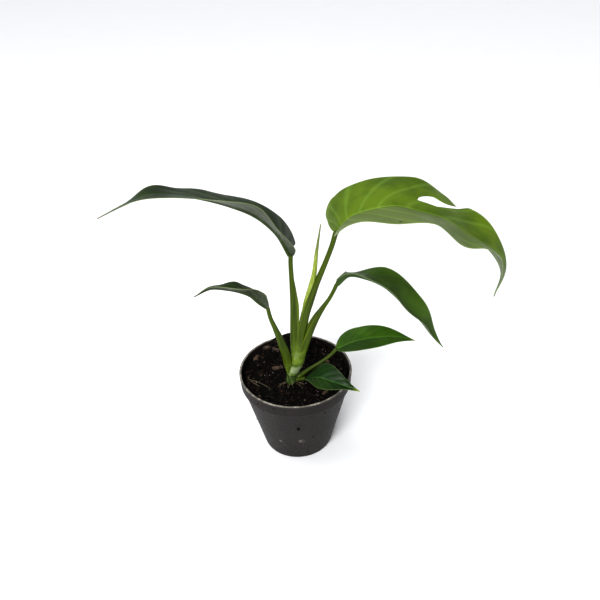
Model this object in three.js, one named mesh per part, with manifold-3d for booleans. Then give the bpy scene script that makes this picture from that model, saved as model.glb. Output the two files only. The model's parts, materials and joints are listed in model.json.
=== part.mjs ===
// A young Rhaphidophora tetrasperma in a small tapered nursery pot.
// Units are millimetres, +Z is up, and the origin is the centre of the pot's underside.
// The plant grows from one short stem: six leaves on long stalks and one new leaf still rolled up.
import * as THREE from 'three';
import { mergeVertices } from 'three/addons/utils/BufferGeometryUtils.js';
import Module from 'manifold-3d';

const wasm = await Module();
wasm.setup();

// Driving dimensions
const GAP = 0.3;               // clearance kept between neighbouring pieces
const POT_HEIGHT = 48;
const POT_RIM_RADIUS = 30;
const POT_BASE_RADIUS = 18.5;
const POT_WALL = 0.8;
const POT_BAND_HEIGHT = 7.4;   // the stepped band below the rim
const POT_BAND_STEP = 0.8;     // how far the band stands out from the wall
const POT_SIDES = 48;
const DRAIN_COUNT = 5;
const DRAIN_RADIUS = 1.7;
const DRAIN_CIRCLE = 14;
const SOIL_LEVEL = 44.2;
const SOIL_BOTTOM = 2.6;
const CRUMB_HEIGHT = 0.7;      // lumps of peat stand this far up and down
const BLADE_THICKNESS = 0.8;
const MIDRIB_THICKNESS = 1.5;  // the raised midrib on the underside of a leaf

const DEG = Math.PI / 180;
const POT_BAND_BOTTOM = POT_HEIGHT - POT_BAND_HEIGHT;
const POT_WALL_TOP_RADIUS = POT_RIM_RADIUS - 0.6 - POT_BAND_STEP;

const plant = new THREE.Group();
plant.name = 'potted_rhaphidophora_tetrasperma';

// Materials
function material(colour, roughness, metalness = 0) {
  return new THREE.MeshStandardMaterial({ color: colour, roughness, metalness });
}

const potPlastic = material('#4a4745', 0.55);
const peat = material('#1b1512', 0.95);
const bark = material('#8a6a4c', 0.9);
const rootSkin = material('#b79a6c', 0.8);
const stemSkin = material('#7fa04f', 0.5);
const stalkGreen = material('#647c1c', 0.45);
const darkLeaf = material('#2f4a1e', 0.4);
const freshLeaf = material('#5d8a1c', 0.38);
const youngLeaf = material('#37601a', 0.4);
const spearGreen = material('#a3b04a', 0.45);

// From a three.js geometry to a solid and back
function toSolid(geometry) {
  const bare = geometry.clone();
  bare.deleteAttribute('normal');
  bare.deleteAttribute('uv');
  const merged = mergeVertices(bare, 1e-4);
  const source = merged.index.array;
  const faces = [];
  for (let i = 0; i < source.length; i += 3) {
    const [a, b, c] = [source[i], source[i + 1], source[i + 2]];
    if (a !== b && b !== c && c !== a) faces.push(a, b, c);
  }
  return new wasm.Manifold(new wasm.Mesh({
    numProp: 3,
    vertProperties: new Float32Array(merged.attributes.position.array),
    triVerts: new Uint32Array(faces),
  }));
}

function toGeometry(solid) {
  const mesh = solid.getMesh();
  const geometry = new THREE.BufferGeometry();
  geometry.setAttribute('position', new THREE.BufferAttribute(mesh.vertProperties, 3));
  geometry.setIndex(new THREE.BufferAttribute(mesh.triVerts, 1));
  geometry.computeVertexNormals();
  return geometry;
}

// A cut can leave a loose scrap, so only the largest body is kept
function largestBody(solid) {
  const bodies = solid.decompose();
  return bodies.reduce((best, body) => (body.volume() > best.volume() ? body : best));
}

function addPiece(name, solid, skin) {
  const mesh = new THREE.Mesh(toGeometry(largestBody(solid)), skin);
  mesh.name = name;
  plant.add(mesh);
}

// Reads a list of values spread evenly over 0 to 1, with a smooth curve through them
const tables = new Map();

function along(values, t) {
  if (!tables.has(values)) {
    tables.set(values, new THREE.SplineCurve(values.map((value, k) => new THREE.Vector2(k, value))));
  }
  return tables.get(values).getPoint(THREE.MathUtils.clamp(t, 0, 1)).y;
}

function smoothCurve(points) {
  const knots = points.map(([x, y, z]) => new THREE.Vector3(x, y, z));
  return new THREE.CatmullRomCurve3(knots, false, 'centripetal');
}

// A closed, tapered, bent tube. Each row of path is x, y, z, radius.
// A wing is a thin flange along one side, as on the sheath at the foot of a leaf stalk.
// Its angle is measured from +Y: 90 points to -X, 180 to -Y and 270 to +X.
function bentTube({ path, rings, sides = 8, wing = null, extra = 0 }) {
  const curve = smoothCurve(path);
  const radii = path.map((row) => row[3]);
  const positions = [];
  for (let i = 0; i < rings; i += 1) {
    const t = i / (rings - 1);
    const centre = curve.getPoint(t);
    const tangent = curve.getTangent(t);
    if (extra && i === 0) centre.addScaledVector(tangent, -extra);
    if (extra && i === rings - 1) centre.addScaledVector(tangent, extra);
    const back = new THREE.Vector3(0, 1, 0);
    back.addScaledVector(tangent, -back.dot(tangent)).normalize();
    const left = new THREE.Vector3().crossVectors(tangent, back);
    for (let j = 0; j < sides; j += 1) {
      const angle = (2 * Math.PI * j) / sides;
      let reach = along(radii, t) + extra;
      if (wing) {
        const facing = Math.max(0, Math.cos(angle - wing.angle * DEG));
        reach += along(wing.reach, t) * facing ** 5;
      }
      const point = centre.clone();
      point.addScaledVector(back, reach * Math.cos(angle));
      point.addScaledVector(left, reach * Math.sin(angle));
      positions.push(point.x, point.y, point.z);
    }
  }
  const faces = [];
  for (let i = 0; i < rings - 1; i += 1) {
    for (let j = 0; j < sides; j += 1) {
      const a = i * sides + j;
      const b = i * sides + ((j + 1) % sides);
      faces.push(a, b, b + sides, a, b + sides, a + sides);
    }
  }
  const last = (rings - 1) * sides;
  for (let j = 1; j < sides - 1; j += 1) {
    faces.push(0, j + 1, j);
    faces.push(last, last + j, last + j + 1);
  }
  const geometry = new THREE.BufferGeometry();
  geometry.setAttribute('position', new THREE.Float32BufferAttribute(positions, 3));
  geometry.setIndex(faces);
  return toSolid(geometry);
}

// Pot: thin tapered wall, stepped band, rounded lip, and a base whose middle and outer ring stand on
// the surface with a raised channel between them for the drain holes.
function wallRadius(z) {
  return THREE.MathUtils.mapLinear(z, 0, POT_BAND_BOTTOM, POT_BASE_RADIUS, POT_WALL_TOP_RADIUS);
}

function makePot() {
  const channel = 1.4;
  const floor = 0.9;
  const bandIn = POT_RIM_RADIUS - 1.5;
  const profile = [
    [0, 0], [11, 0], [12.2, channel], [15.8, channel], [17, 0], [POT_BASE_RADIUS - 0.4, 0],
    [wallRadius(0.6) + 0.1, 0.6], [POT_WALL_TOP_RADIUS, POT_BAND_BOTTOM - 0.4],
    [POT_WALL_TOP_RADIUS + POT_BAND_STEP, POT_BAND_BOTTOM + 0.1],
    [POT_RIM_RADIUS - 0.3, POT_HEIGHT - 1.5], [POT_RIM_RADIUS, POT_HEIGHT - 0.9],
    [POT_RIM_RADIUS - 0.1, POT_HEIGHT - 0.25], [POT_RIM_RADIUS - 0.5, POT_HEIGHT],
    [POT_RIM_RADIUS - 0.9, POT_HEIGHT], [POT_RIM_RADIUS - 1.2, POT_HEIGHT - 0.4],
    [bandIn, POT_BAND_BOTTOM + 0.6], [POT_WALL_TOP_RADIUS - POT_WALL, POT_BAND_BOTTOM - 0.4],
    [wallRadius(2.3) - POT_WALL, 2.3], [16.9, floor], [16.6, floor], [15.7, channel + floor],
    [12.3, channel + floor], [11.2, floor], [0, floor],
  ];
  const lathe = new THREE.LatheGeometry(profile.map(([r, z]) => new THREE.Vector2(r, z)), POT_SIDES);
  lathe.rotateX(Math.PI / 2);
  let pot = toSolid(lathe);
  for (let i = 0; i < DRAIN_COUNT; i += 1) {
    const turn = (2 * Math.PI * (i + 0.5)) / DRAIN_COUNT;
    const drill = new THREE.CylinderGeometry(DRAIN_RADIUS, DRAIN_RADIUS, 6, 12);
    drill.rotateX(Math.PI / 2);
    drill.translate(DRAIN_CIRCLE * Math.cos(turn), DRAIN_CIRCLE * Math.sin(turn), channel);
    pot = pot.subtract(toSolid(drill));
  }
  return pot;
}

// Height of the soil: soft lumps, a mound at the stem, a dip at the wall and a heap at the back
function soilHeight(x, y) {
  const lumps = 0.4 * Math.sin(0.7 * x + 1.3) * Math.sin(0.6 * y + 0.4) + 0.25 * Math.sin(0.9 * x - 0.8 * y);
  const rise = THREE.MathUtils.smoothstep(y, 12, 27);
  const heap = 6.2 * rise * Math.exp(-(((x + 3) / 18) ** 2));
  const edge = 0.7 * THREE.MathUtils.smoothstep(Math.hypot(x, y), 25, 28) * (1 - rise);
  const mound = 0.9 * Math.exp(-((x + 2) ** 2 + (y + 7) ** 2) / 36);
  return SOIL_LEVEL + lumps + heap + mound - edge;
}

// A repeatable value from -1 to 1 for each pair of whole numbers
function scatter(a, b) {
  const value = Math.sin(a * 12.9898 + b * 78.233) * 43758.5453;
  return 2 * (value - Math.floor(value)) - 1;
}

function makeSoil() {
  const topRadius = POT_RIM_RADIUS - 1.5 - GAP;
  const rings = [4, 8, 11.5, 14.5, 17.5, 20.5, 23, 25.5, topRadius];
  const positions = [0, 0, soilHeight(0, 0)];
  const addRing = (radius, height) => {
    for (let j = 0; j < POT_SIDES; j += 1) {
      const turn = (2 * Math.PI * j) / POT_SIDES;
      const x = radius * Math.sin(turn);
      const y = radius * Math.cos(turn);
      positions.push(x, y, height(x, y, j));
    }
  };
  for (const radius of rings) {
    const size = CRUMB_HEIGHT * THREE.MathUtils.smoothstep(radius, 5, 14);
    addRing(radius, (x, y, j) => soilHeight(x, y) + size * scatter(radius, j));
  }
  const wallIn = POT_WALL + GAP;
  addRing(topRadius, () => POT_BAND_BOTTOM + 0.8);
  addRing(POT_WALL_TOP_RADIUS - wallIn, () => POT_BAND_BOTTOM - 0.2);
  addRing(wallRadius(SOIL_BOTTOM) - wallIn, () => SOIL_BOTTOM);
  const ringCount = rings.length + 3;
  const faces = [];
  const at = (ring, j) => 1 + ring * POT_SIDES + (j % POT_SIDES);
  for (let j = 0; j < POT_SIDES; j += 1) {
    faces.push(0, at(0, j + 1), at(0, j));
    for (let ring = 0; ring < ringCount - 1; ring += 1) {
      faces.push(at(ring, j), at(ring, j + 1), at(ring + 1, j + 1));
      faces.push(at(ring, j), at(ring + 1, j + 1), at(ring + 1, j));
    }
  }
  const bottom = positions.length / 3;
  positions.push(0, 0, SOIL_BOTTOM);
  for (let j = 0; j < POT_SIDES; j += 1) {
    faces.push(bottom, at(ringCount - 1, j), at(ringCount - 1, j + 1));
  }
  const geometry = new THREE.BufferGeometry();
  geometry.setAttribute('position', new THREE.Float32BufferAttribute(positions, 3));
  geometry.setIndex(faces);
  return toSolid(geometry);
}

// Stem: rows are x, y, z, radius. It swells at its two nodes, and its lower part is in the soil.
const STEM_PATH = [
  [-2.4, -5.9, 24, 2.9], [-2.4, -5.9, 35, 3], [-2.2, -5.9, 44.5, 2.95], [-1.6, -5.9, 50, 3.05],
  [-1, -5.8, 52.2, 3.25], [-0.1, -5.6, 54.7, 3.45], [0.8, -5.5, 57, 3.55], [1.2, -5.4, 58.9, 3.5],
  [1.5, -5.4, 61.2, 3.3],
];
const stemShape = { path: STEM_PATH, rings: 15, sides: 12 };

// Leaf stalks, from the stem up to the leaf. Rows are x, y, z, radius.
const STALKS = {
  upper_left: {
    path: [[-0.2, -5.2, 60, 2], [-0.1, -4.9, 66, 1.9], [-0.1, -4.6, 76, 1.67],
      [0.1, -4.1, 83, 1.6], [0.3, -3.4, 90, 1.5], [0.3, -2.6, 98, 1.33],
      [0.1, -1.2, 107, 1.15], [0, 0.2, 114, 1.08], [0.2, 1.2, 117.4, 1.1]],
    rings: 15,
    wing: { angle: 270, reach: [1, 1.2, 1.4, 1.6, 1.7, 0.9, 0, 0, 0] },
  },
  upper_right: {
    path: [[2.1, -5.2, 58, 2.1], [3.2, -5, 63.1, 2.1], [4, -4.7, 69.3, 2],
      [4.9, -4.3, 76.5, 1.8], [6.9, -3.7, 86.4, 1.66], [8.7, -3.3, 92.4, 1.67],
      [10.1, -2.9, 97, 1.66], [12, -2.4, 102.8, 1.58], [14.5, -1.8, 108.8, 1.37],
      [17.2, -1.1, 115.5, 1.22], [20, -0.4, 123.2, 1.2], [21.6, 0.2, 128.9, 1.25]],
    rings: 19,
    wing: { angle: 90, reach: [0.2, 0.6, 1, 1.2, 1.2, 1.1, 0.6, 0.2, 0, 0, 0, 0] },
  },
  mid_right: {
    path: [[3.2, -6.2, 59.4, 1.4], [4.3, -6.3, 63.4, 1.65], [5.7, -6.2, 68.5, 1.75],
      [7.3, -5.6, 73.1, 1.68], [9.6, -4.4, 78.4, 1.5], [12, -2.9, 82.8, 1.3],
      [15.2, -1.1, 87.6, 1.05], [18.3, 0.2, 91.9, 0.96], [20.6, 1, 96, 0.94],
      [22.1, 1.5, 99.3, 1]],
    rings: 15,
    wing: { angle: 110, reach: [0.3, 0.6, 1, 1.4, 1.5, 1.2, 0.5, 0, 0, 0] },
  },
  lower_left: {
    path: [[-3.3, -7, 51.5, 1.2], [-4, -7.4, 58, 1.9], [-5, -7.6, 64.9, 1.9],
      [-6.3, -7.9, 70.4, 1.75], [-7.7, -8.2, 76.4, 1.5], [-9.3, -8.6, 82.4, 1.24],
      [-11, -9, 88.3, 1.03], [-12, -8.8, 94.2, 0.98]],
    rings: 13,
    wing: { angle: 270, reach: [0.3, 0.5, 0.7, 0.6, 0.3, 0, 0, 0] },
  },
  small_right: {
    path: [[0.2, -6, 47, 1.3], [2, -5.7, 47.8, 1.3], [4.2, -4.9, 48.8, 1.15],
      [8, -3.4, 50.7, 0.95], [14, -1.6, 53.5, 0.85], [18.6, 0, 56.1, 0.85],
      [21.6, 1, 59, 0.9]],
    rings: 13,
  },
  front_right: {
    path: [[0.2, -6.9, 46.6, 1.1], [1.6, -7.4, 46.9, 1], [3, -7.8, 47.3, 0.95],
      [4.4, -8.1, 47.9, 0.9]],
    rings: 7,
  },
};

// The new leaf, rolled into a spear beside the stalk of the newest open leaf
const SPEAR = {
  path: [[4.6, -3.8, 84, 0.8], [6.3, -3.2, 92.4, 1.05], [7.7, -2.8, 96.9, 1.2], [9.4, -2.4, 102.4, 1.26],
    [10.9, -1.9, 107.8, 1.24], [11.7, -1.2, 113, 1.05], [12.3, -0.5, 118.1, 0.9], [13.1, 0.2, 123.2, 0.64],
    [14.8, 1.6, 133.3, 0.23]],
  rings: 13,
};

// Half a leaf outline. Each row gives where its vein leaves the midrib, then the margin's distance
// along the midrib and its distance out, as shares of the length and of the half's width.
const HEART = [
  [0, 0, 0], [0.01, -0.06, 0.2], [0.03, -0.09, 0.48], [0.07, -0.05, 0.8], [0.14, 0.07, 0.98],
  [0.24, 0.22, 1], [0.36, 0.38, 0.97], [0.48, 0.52, 0.88], [0.6, 0.66, 0.69], [0.72, 0.78, 0.44],
  [0.84, 0.89, 0.2], [0.93, 0.96, 0.06], [1, 1, 0],
];
const LANCE = [
  [0, 0, 0], [0.01, 0, 0.12], [0.03, 0.02, 0.32], [0.07, 0.06, 0.58], [0.14, 0.14, 0.84],
  [0.24, 0.26, 0.99], [0.36, 0.39, 0.99], [0.48, 0.52, 0.86], [0.6, 0.65, 0.66], [0.72, 0.77, 0.42],
  [0.84, 0.88, 0.2], [0.93, 0.955, 0.07], [1, 1, 0],
];

// Blades. The midrib is a curve in space. Azimuth is the way the leaf points, seen from above.
// Roll turns the whole section about the midrib, and fold raises each half from it: both are in
// degrees, at points spread evenly from stalk to tip. Left and right are as seen from the stalk.
// A wave lifts the margin by its height, so many times along the leaf, starting at its phase.
const BLADES = {
  upper_left: {
    azimuth: 172, lobe: 0, rows: 25, columns: 4, skin: darkLeaf,
    roll: [14, 14, 24, 22, 23, 18, 10, 14, 8],
    midrib: [[0.2, 1.2, 117.4], [-5.7, 2.6, 129.1], [-15.2, 4.7, 137.7], [-27, 6, 143],
      [-39.5, 8, 146.1], [-52, 10, 147.7], [-65.5, 11.5, 147.1], [-79, 13, 141.4],
      [-92.3, 14.9, 134.2]],
    left: {
      outline: LANCE, wave: [0.66, 2.93, 0.3],
      width: [19.2, 18.8, 18.5, 18.5, 18.4, 18.4, 18.5, 18.5, 18.5],
      fold: [35, 19, 17, 10, 4, 0, 3, 4, 4],
    },
    right: {
      outline: HEART, wave: [1.11, 3.4, 0.41],
      width: [18.5, 18.3, 18.3, 18.5, 18.5, 18.5, 19, 18.7, 18.5],
      fold: [15, 12, 11, 11, 7, 5, 15, 4, 4],
    },
  },
  upper_right: {
    azimuth: 2, lobe: 0.3, rows: 27, columns: 5, skin: freshLeaf,
    roll: [-4, -5, -1, 0, 4, 3, 8, 21, 30],
    midrib: [[21.6, 0.3, 129.3], [24.2, 0.1, 133.5], [28.7, 0.4, 137.7], [36.9, 0.6, 140.5],
      [49.2, 0.8, 142], [61, 1, 138.7], [72.9, 1.3, 134.1], [84.3, 2.1, 125.9],
      [96, 2.1, 116.2], [103.7, 2.4, 102.4], [101.8, 2.7, 87.7]],
    left: {
      outline: HEART, wave: [1.11, 3.55, 0.762],
      width: [27.8, 26, 26.7, 27, 26.1, 27.3, 26.8, 26.4, 26.5],
      fold: [11, 8, 8, 11, 5, 12, 20, 19, 24],
    },
    right: {
      outline: LANCE, wave: [0.77, 2.86, 0.91],
      width: [26.1, 27, 26, 25.8, 28.1, 27.5, 26.2, 26.4, 27.4],
      fold: [14, 13, 10, 15, 5, 15, 20, 7, 6],
    },
    split: [[0.374, 7.6], [0.381, 10.2], [0.396, 12], [0.424, 13.7], [0.457, 15], [0.485, 14.4],
      [0.513, 14.4], [0.544, 15.6], [0.576, 17.5], [0.566, 20.4], [0.549, 23.5], [0.524, 26.8],
      [0.528, 31.5], [0.673, 31.5], [0.665, 24], [0.636, 20.9], [0.609, 18.7], [0.587, 16.3],
      [0.553, 13.5], [0.517, 10.8], [0.462, 7.6], [0.419, 6.3], [0.387, 6.4]],
  },
  lower_left: {
    azimuth: 195, lobe: 0, rows: 17, columns: 4, skin: darkLeaf,
    roll: [0, 11, 20, 15, 21, 27, 25],
    midrib: [[-12, -8.7, 94.8], [-15.6, -10.1, 99], [-19.1, -11.2, 103.7], [-22.9, -12.3, 106.6],
      [-30.2, -13.7, 109.6], [-37.8, -15.2, 111.1], [-45.6, -17.4, 108.3]],
    left: {
      outline: LANCE, wave: [0.3, 2, 0.1],
      width: [8.2, 9.2, 9.9, 9.8, 9.7, 9.6, 9.5],
      fold: [16, 23, 26, 20, 16, 22, 26],
    },
    right: {
      outline: HEART, wave: [0.4, 2, 0.4],
      width: [8.9, 8.6, 8.5, 8.7, 9.1, 9.2, 9.3],
      fold: [20, 21, 18, 16, 8, 12, 19],
    },
  },
  mid_right: {
    azimuth: 6, lobe: 0, rows: 23, columns: 4, skin: darkLeaf,
    roll: [-23, -10, 9, 19, 22, 22, 23],
    midrib: [[22.2, 1.6, 99.9], [28.1, 2.5, 104.5], [37.7, 3.6, 101.5], [46.3, 4.1, 96.1],
      [53.1, 5, 88.6], [59.9, 5.9, 79.5], [67, 7.1, 71], [73, 8, 61.4],
      [80.3, 8.9, 51.6]],
    left: {
      outline: HEART, wave: [0.4, 2.5, 0.2],
      width: [13.2, 12.9, 13.4, 13.4, 14, 13.6, 13.3],
      fold: [3, -14, 9, 19, 30, 29, 27],
    },
    right: {
      outline: LANCE, wave: [0.5, 2.5, 0.6],
      width: [11, 10.9, 10.8, 11, 11.1, 11.1, 11.1],
      fold: [35, 16, 24, 27, 34, 30, 23],
    },
  },
  small_right: {
    azimuth: 8, lobe: 1, rows: 17, columns: 4, skin: youngLeaf,
    roll: [3, 7, 9, 12, 13, 15, 17],
    midrib: [[21.8, 1.1, 59.3], [31.4, 2.3, 63], [42, 3.5, 64.1], [53, 4.7, 63.3],
      [64.1, 6, 59.4]],
    left: {
      outline: LANCE, wave: [0.2, 2, 0],
      width: [8.9, 8.5, 8.3, 8.5, 8.7, 8.5, 8.6],
      fold: [12, 11, 10, 13, 14, 11, 11],
    },
    right: {
      outline: LANCE, wave: [0.3, 2, 0.5],
      width: [8.4, 8.5, 8.5, 8.4, 8.4, 8.5, 8.7],
      fold: [20, 15, 10, 10, 10, 7, 5],
    },
  },
  front_right: {
    azimuth: -20, lobe: 1, rows: 15, columns: 4, skin: youngLeaf,
    roll: [-7, 5, 21, 24, 20, 13, 16],
    midrib: [[4.8, -8.3, 48.1], [12, -11.4, 50.9], [18.9, -15.2, 51], [25.5, -18.9, 50.8],
      [32.4, -21.8, 49.8]],
    left: {
      outline: LANCE, wave: [0.2, 2, 0],
      width: [7.4, 7.8, 8.4, 8.2, 7.3, 6.9, 7],
      fold: [5, 11, 17, 20, 21, 18, 16],
    },
    right: {
      outline: LANCE, wave: [0.2, 2, 0.5],
      width: [6.8, 7.2, 7.5, 7.3, 7.2, 7, 7.1],
      fold: [35, 31, 22, 21, 25, 30, 25],
    },
  },
};

// The midrib of a blade with the frame of its section, and the map from the flat leaf to space
function leafMap(blade) {
  const curve = smoothCurve(blade.midrib);
  curve.arcLengthDivisions = 400;
  const length = curve.getLength();
  const turn = blade.azimuth * DEG;
  const level = new THREE.Vector3(-Math.sin(turn), Math.cos(turn), 0);
  return function place(side, x, y, depth = 0) {
    const half = side > 0 ? blade.left : blade.right;
    const t = THREE.MathUtils.clamp(x / length, 0, 1);
    const tangent = curve.getTangentAt(t);
    const point = curve.getPointAt(t).addScaledVector(tangent, x - t * length);
    const across = level.clone().addScaledVector(tangent, -level.dot(tangent)).normalize();
    across.applyAxisAngle(tangent, along(blade.roll, t) * DEG);
    const up = new THREE.Vector3().crossVectors(tangent, across);
    const tilt = along(half.fold, t) * DEG;
    const [height, waves, phase] = half.wave;
    const taper = Math.min(1, 6 * t * (1 - t));
    const swing = Math.sin(2 * Math.PI * (waves * t + phase));
    const lift = height * taper * (y / Math.max(...half.width)) ** 2 * swing;
    const normalTilt = y > 0 ? tilt : 0;
    point.addScaledVector(across, side * (y * Math.cos(tilt) + depth * Math.sin(normalTilt)));
    point.addScaledVector(up, y * Math.sin(tilt) + lift - depth * Math.cos(normalTilt));
    return point;
  };
}

// The margin of one half at each row of the blade: its distance along the midrib and out from it
function marginPoints(blade, half, length, roots) {
  const shape = half.outline.map(([root, x, y]) => [root, x < 0 ? x * blade.lobe : x, y]);
  const samples = smoothCurve(shape).getPoints(600);
  return roots.map((root) => {
    const sample = samples.find(({ x }) => x >= root) ?? samples[samples.length - 1];
    return [sample.y * length, sample.z * along(half.width, sample.y)];
  });
}

// A blade is a grid of rows along the midrib and columns from it to the margin, bent into space and
// thickened downwards, with the midrib thicker than the rest.
function makeBlade(blade) {
  const place = leafMap(blade);
  const length = smoothCurve(blade.midrib).getLength();
  const { rows, columns } = blade;
  const roots = Array.from({ length: rows }, (_, i) => (i / (rows - 1)) ** 1.35);
  const margins = {
    '1': marginPoints(blade, blade.left, length, roots),
    '-1': marginPoints(blade, blade.right, length, roots),
  };
  const positions = [];
  const ids = new Map();
  const vertex = (face, side, i, j) => {
    const end = i === 0 || i === rows - 1;
    const key = `${face},${end || j === 0 ? 0 : side},${i},${end ? 0 : j}`;
    if (ids.has(key)) return ids.get(key);
    const share = end ? 0 : j / (columns - 1);
    const [edgeX, edgeY] = margins[side][i];
    const start = roots[i] * length;
    const x = start + (edgeX - start) * share ** 1.25;
    const thickness = share === 0 && !end ? MIDRIB_THICKNESS : BLADE_THICKNESS;
    const point = place(side, x, edgeY * share, face === 'under' ? thickness : 0);
    ids.set(key, positions.length / 3);
    positions.push(point.x, point.y, point.z);
    return ids.get(key);
  };
  const faces = [];
  const addFace = (a, b, c, flip) => {
    if (a === b || b === c || c === a) return;
    if (flip) faces.push(a, c, b);
    else faces.push(a, b, c);
  };
  for (const side of [1, -1]) {
    for (let i = 0; i < rows - 1; i += 1) {
      for (const face of ['upper', 'under']) {
        const flip = (side > 0) === (face === 'under');
        for (let j = 0; j < columns - 1; j += 1) {
          const corner = [[i, j], [i + 1, j], [i + 1, j + 1], [i, j + 1]];
          const [a, b, c, d] = corner.map(([row, column]) => vertex(face, side, row, column));
          addFace(a, b, c, flip);
          addFace(a, c, d, flip);
        }
      }
      const edge = columns - 1;
      const [a, b] = [vertex('upper', side, i, edge), vertex('upper', side, i + 1, edge)];
      const [c, d] = [vertex('under', side, i + 1, edge), vertex('under', side, i, edge)];
      addFace(a, b, c, side < 0);
      addFace(a, c, d, side < 0);
    }
  }
  const geometry = new THREE.BufferGeometry();
  geometry.setAttribute('position', new THREE.Float32BufferAttribute(positions, 3));
  geometry.setIndex(faces);
  return toSolid(geometry);
}

// The tool that cuts a split: its flat outline, bent as the leaf is, a few millimetres thick
function makeSplitCutter(blade) {
  const place = leafMap(blade);
  const length = smoothCurve(blade.midrib).getLength();
  const outline = blade.split.map(([x, y]) => new THREE.Vector2(x * length, y));
  if (THREE.ShapeUtils.isClockWise(outline)) outline.reverse();
  const reach = 3;
  const positions = [];
  for (const depth of [-reach, reach]) {
    outline.forEach(({ x, y }) => positions.push(...place(1, x, y, depth).toArray()));
  }
  const count = outline.length;
  const faces = [];
  THREE.ShapeUtils.triangulateShape(outline, []).forEach(([a, b, c]) => {
    faces.push(a, b, c, a + count, c + count, b + count);
  });
  for (let i = 0; i < count; i += 1) {
    const next = (i + 1) % count;
    faces.push(i, i + count, next + count, i, next + count, next);
  }
  const geometry = new THREE.BufferGeometry();
  geometry.setAttribute('position', new THREE.Float32BufferAttribute(positions, 3));
  geometry.setIndex(faces);
  return toSolid(geometry);
}

// Roots: a knotty crown under the stem, and tapered roots that spread to the wall and down
const CROWN = [-2.4, -5.9, 20.4];
const ROOT_COUNT = 6;

function makeRoots(extra) {
  const crown = new THREE.SphereGeometry(3.3 + extra, 10, 6);
  crown.rotateX(Math.PI / 2);
  crown.translate(...CROWN);
  let roots = toSolid(crown);
  for (let i = 0; i < ROOT_COUNT; i += 1) {
    const turn = (2 * Math.PI * i) / ROOT_COUNT + 0.4;
    const drop = i % 2 === 0 ? 13 : 7;
    const step = (out, down, radius) => [
      CROWN[0] * (1 - out / 16) + out * Math.cos(turn + 0.04 * out),
      CROWN[1] * (1 - out / 16) + out * Math.sin(turn + 0.04 * out), CROWN[2] - down, radius,
    ];
    const path = [step(1, 0, 1.5), step(6, 1, 1.1), step(11, drop * 0.45, 0.8), step(14, drop, 0.5)];
    roots = roots.add(bentTube({ path, rings: 5, sides: 6, extra }));
  }
  return roots;
}

// Bark chips on the soil: x, y, turn in degrees and length
const CHIPS = [[-15.5, 20.5, 20, 5], [-21.5, 14.5, 65, 4.5], [-10.5, 18.5, -30, 4], [-9.5, 5.5, 10, 5.5],
  [15, -16.5, 40, 4], [17, 9, -50, 4.5]];

function makeChip([x, y, turn, length], extra) {
  const outline = new THREE.Shape();
  const [a, b] = [length / 2 + extra, length / 4 + extra];
  outline.moveTo(-a, -b * 0.5);
  outline.lineTo(-a * 0.2, -b);
  outline.lineTo(a * 0.8, -b * 0.7);
  outline.lineTo(a, b * 0.4);
  outline.lineTo(a * 0.3, b);
  outline.lineTo(-a * 0.7, b * 0.8);
  const height = 1.1 + 2 * extra;
  const chip = new THREE.ExtrudeGeometry(outline, { depth: height, bevelEnabled: false });
  chip.translate(0, 0, -height / 2);
  chip.rotateX(8 * DEG);
  chip.rotateZ(turn * DEG);
  chip.translate(x, y, soilHeight(x, y) + 0.3);
  return toSolid(chip);
}

// Each piece is cut back from those before it, so neighbours keep their clearance
const stem = bentTube(stemShape);
const stemClear = bentTube({ ...stemShape, extra: GAP });
const roots = makeRoots(0);
let soil = makeSoil().subtract(stemClear).subtract(makeRoots(GAP));

addPiece('pot', makePot(), potPlastic);
addPiece('roots', roots, rootSkin);
addPiece('stem', stem, stemSkin);

let taken = stemClear;
for (const [name, stalk] of Object.entries(STALKS)) {
  addPiece(`stalk_${name}`, bentTube(stalk).subtract(taken), stalkGreen);
  taken = taken.add(bentTube({ ...stalk, extra: GAP }));
}
addPiece('new_leaf', bentTube(SPEAR).subtract(taken), spearGreen);
taken = taken.add(bentTube({ ...SPEAR, extra: GAP }));

for (const [name, blade] of Object.entries(BLADES)) {
  let body = makeBlade(blade);
  if (blade.split) body = body.subtract(makeSplitCutter(blade));
  addPiece(`blade_${name}`, body.subtract(taken), blade.skin);
}

CHIPS.forEach((chip, index) => {
  addPiece(`bark_chip_${index + 1}`, makeChip(chip, 0), bark);
  soil = soil.subtract(makeChip(chip, GAP));
});
addPiece('soil', soil, peat);

export default plant;
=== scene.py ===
# %% [markdown]
# # A young Rhaphidophora tetrasperma in a nursery pot
#
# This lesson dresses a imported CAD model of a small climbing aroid: a thin plastic pot, dark peat, one
# short stem, six leaves on long stalks and a new leaf that is still rolled up. The CAD gives every
# piece its place and size. Here each plain solid is replaced by a finer surface of the same form, and
# each surface gets the finish that the real one has.
#
# Everything is in metres in Blender, and in millimetres in the tables below, which MM turns over.

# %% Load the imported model
import json
import math

import bmesh
import bpy
import numpy as np
from mathutils import Matrix

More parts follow.
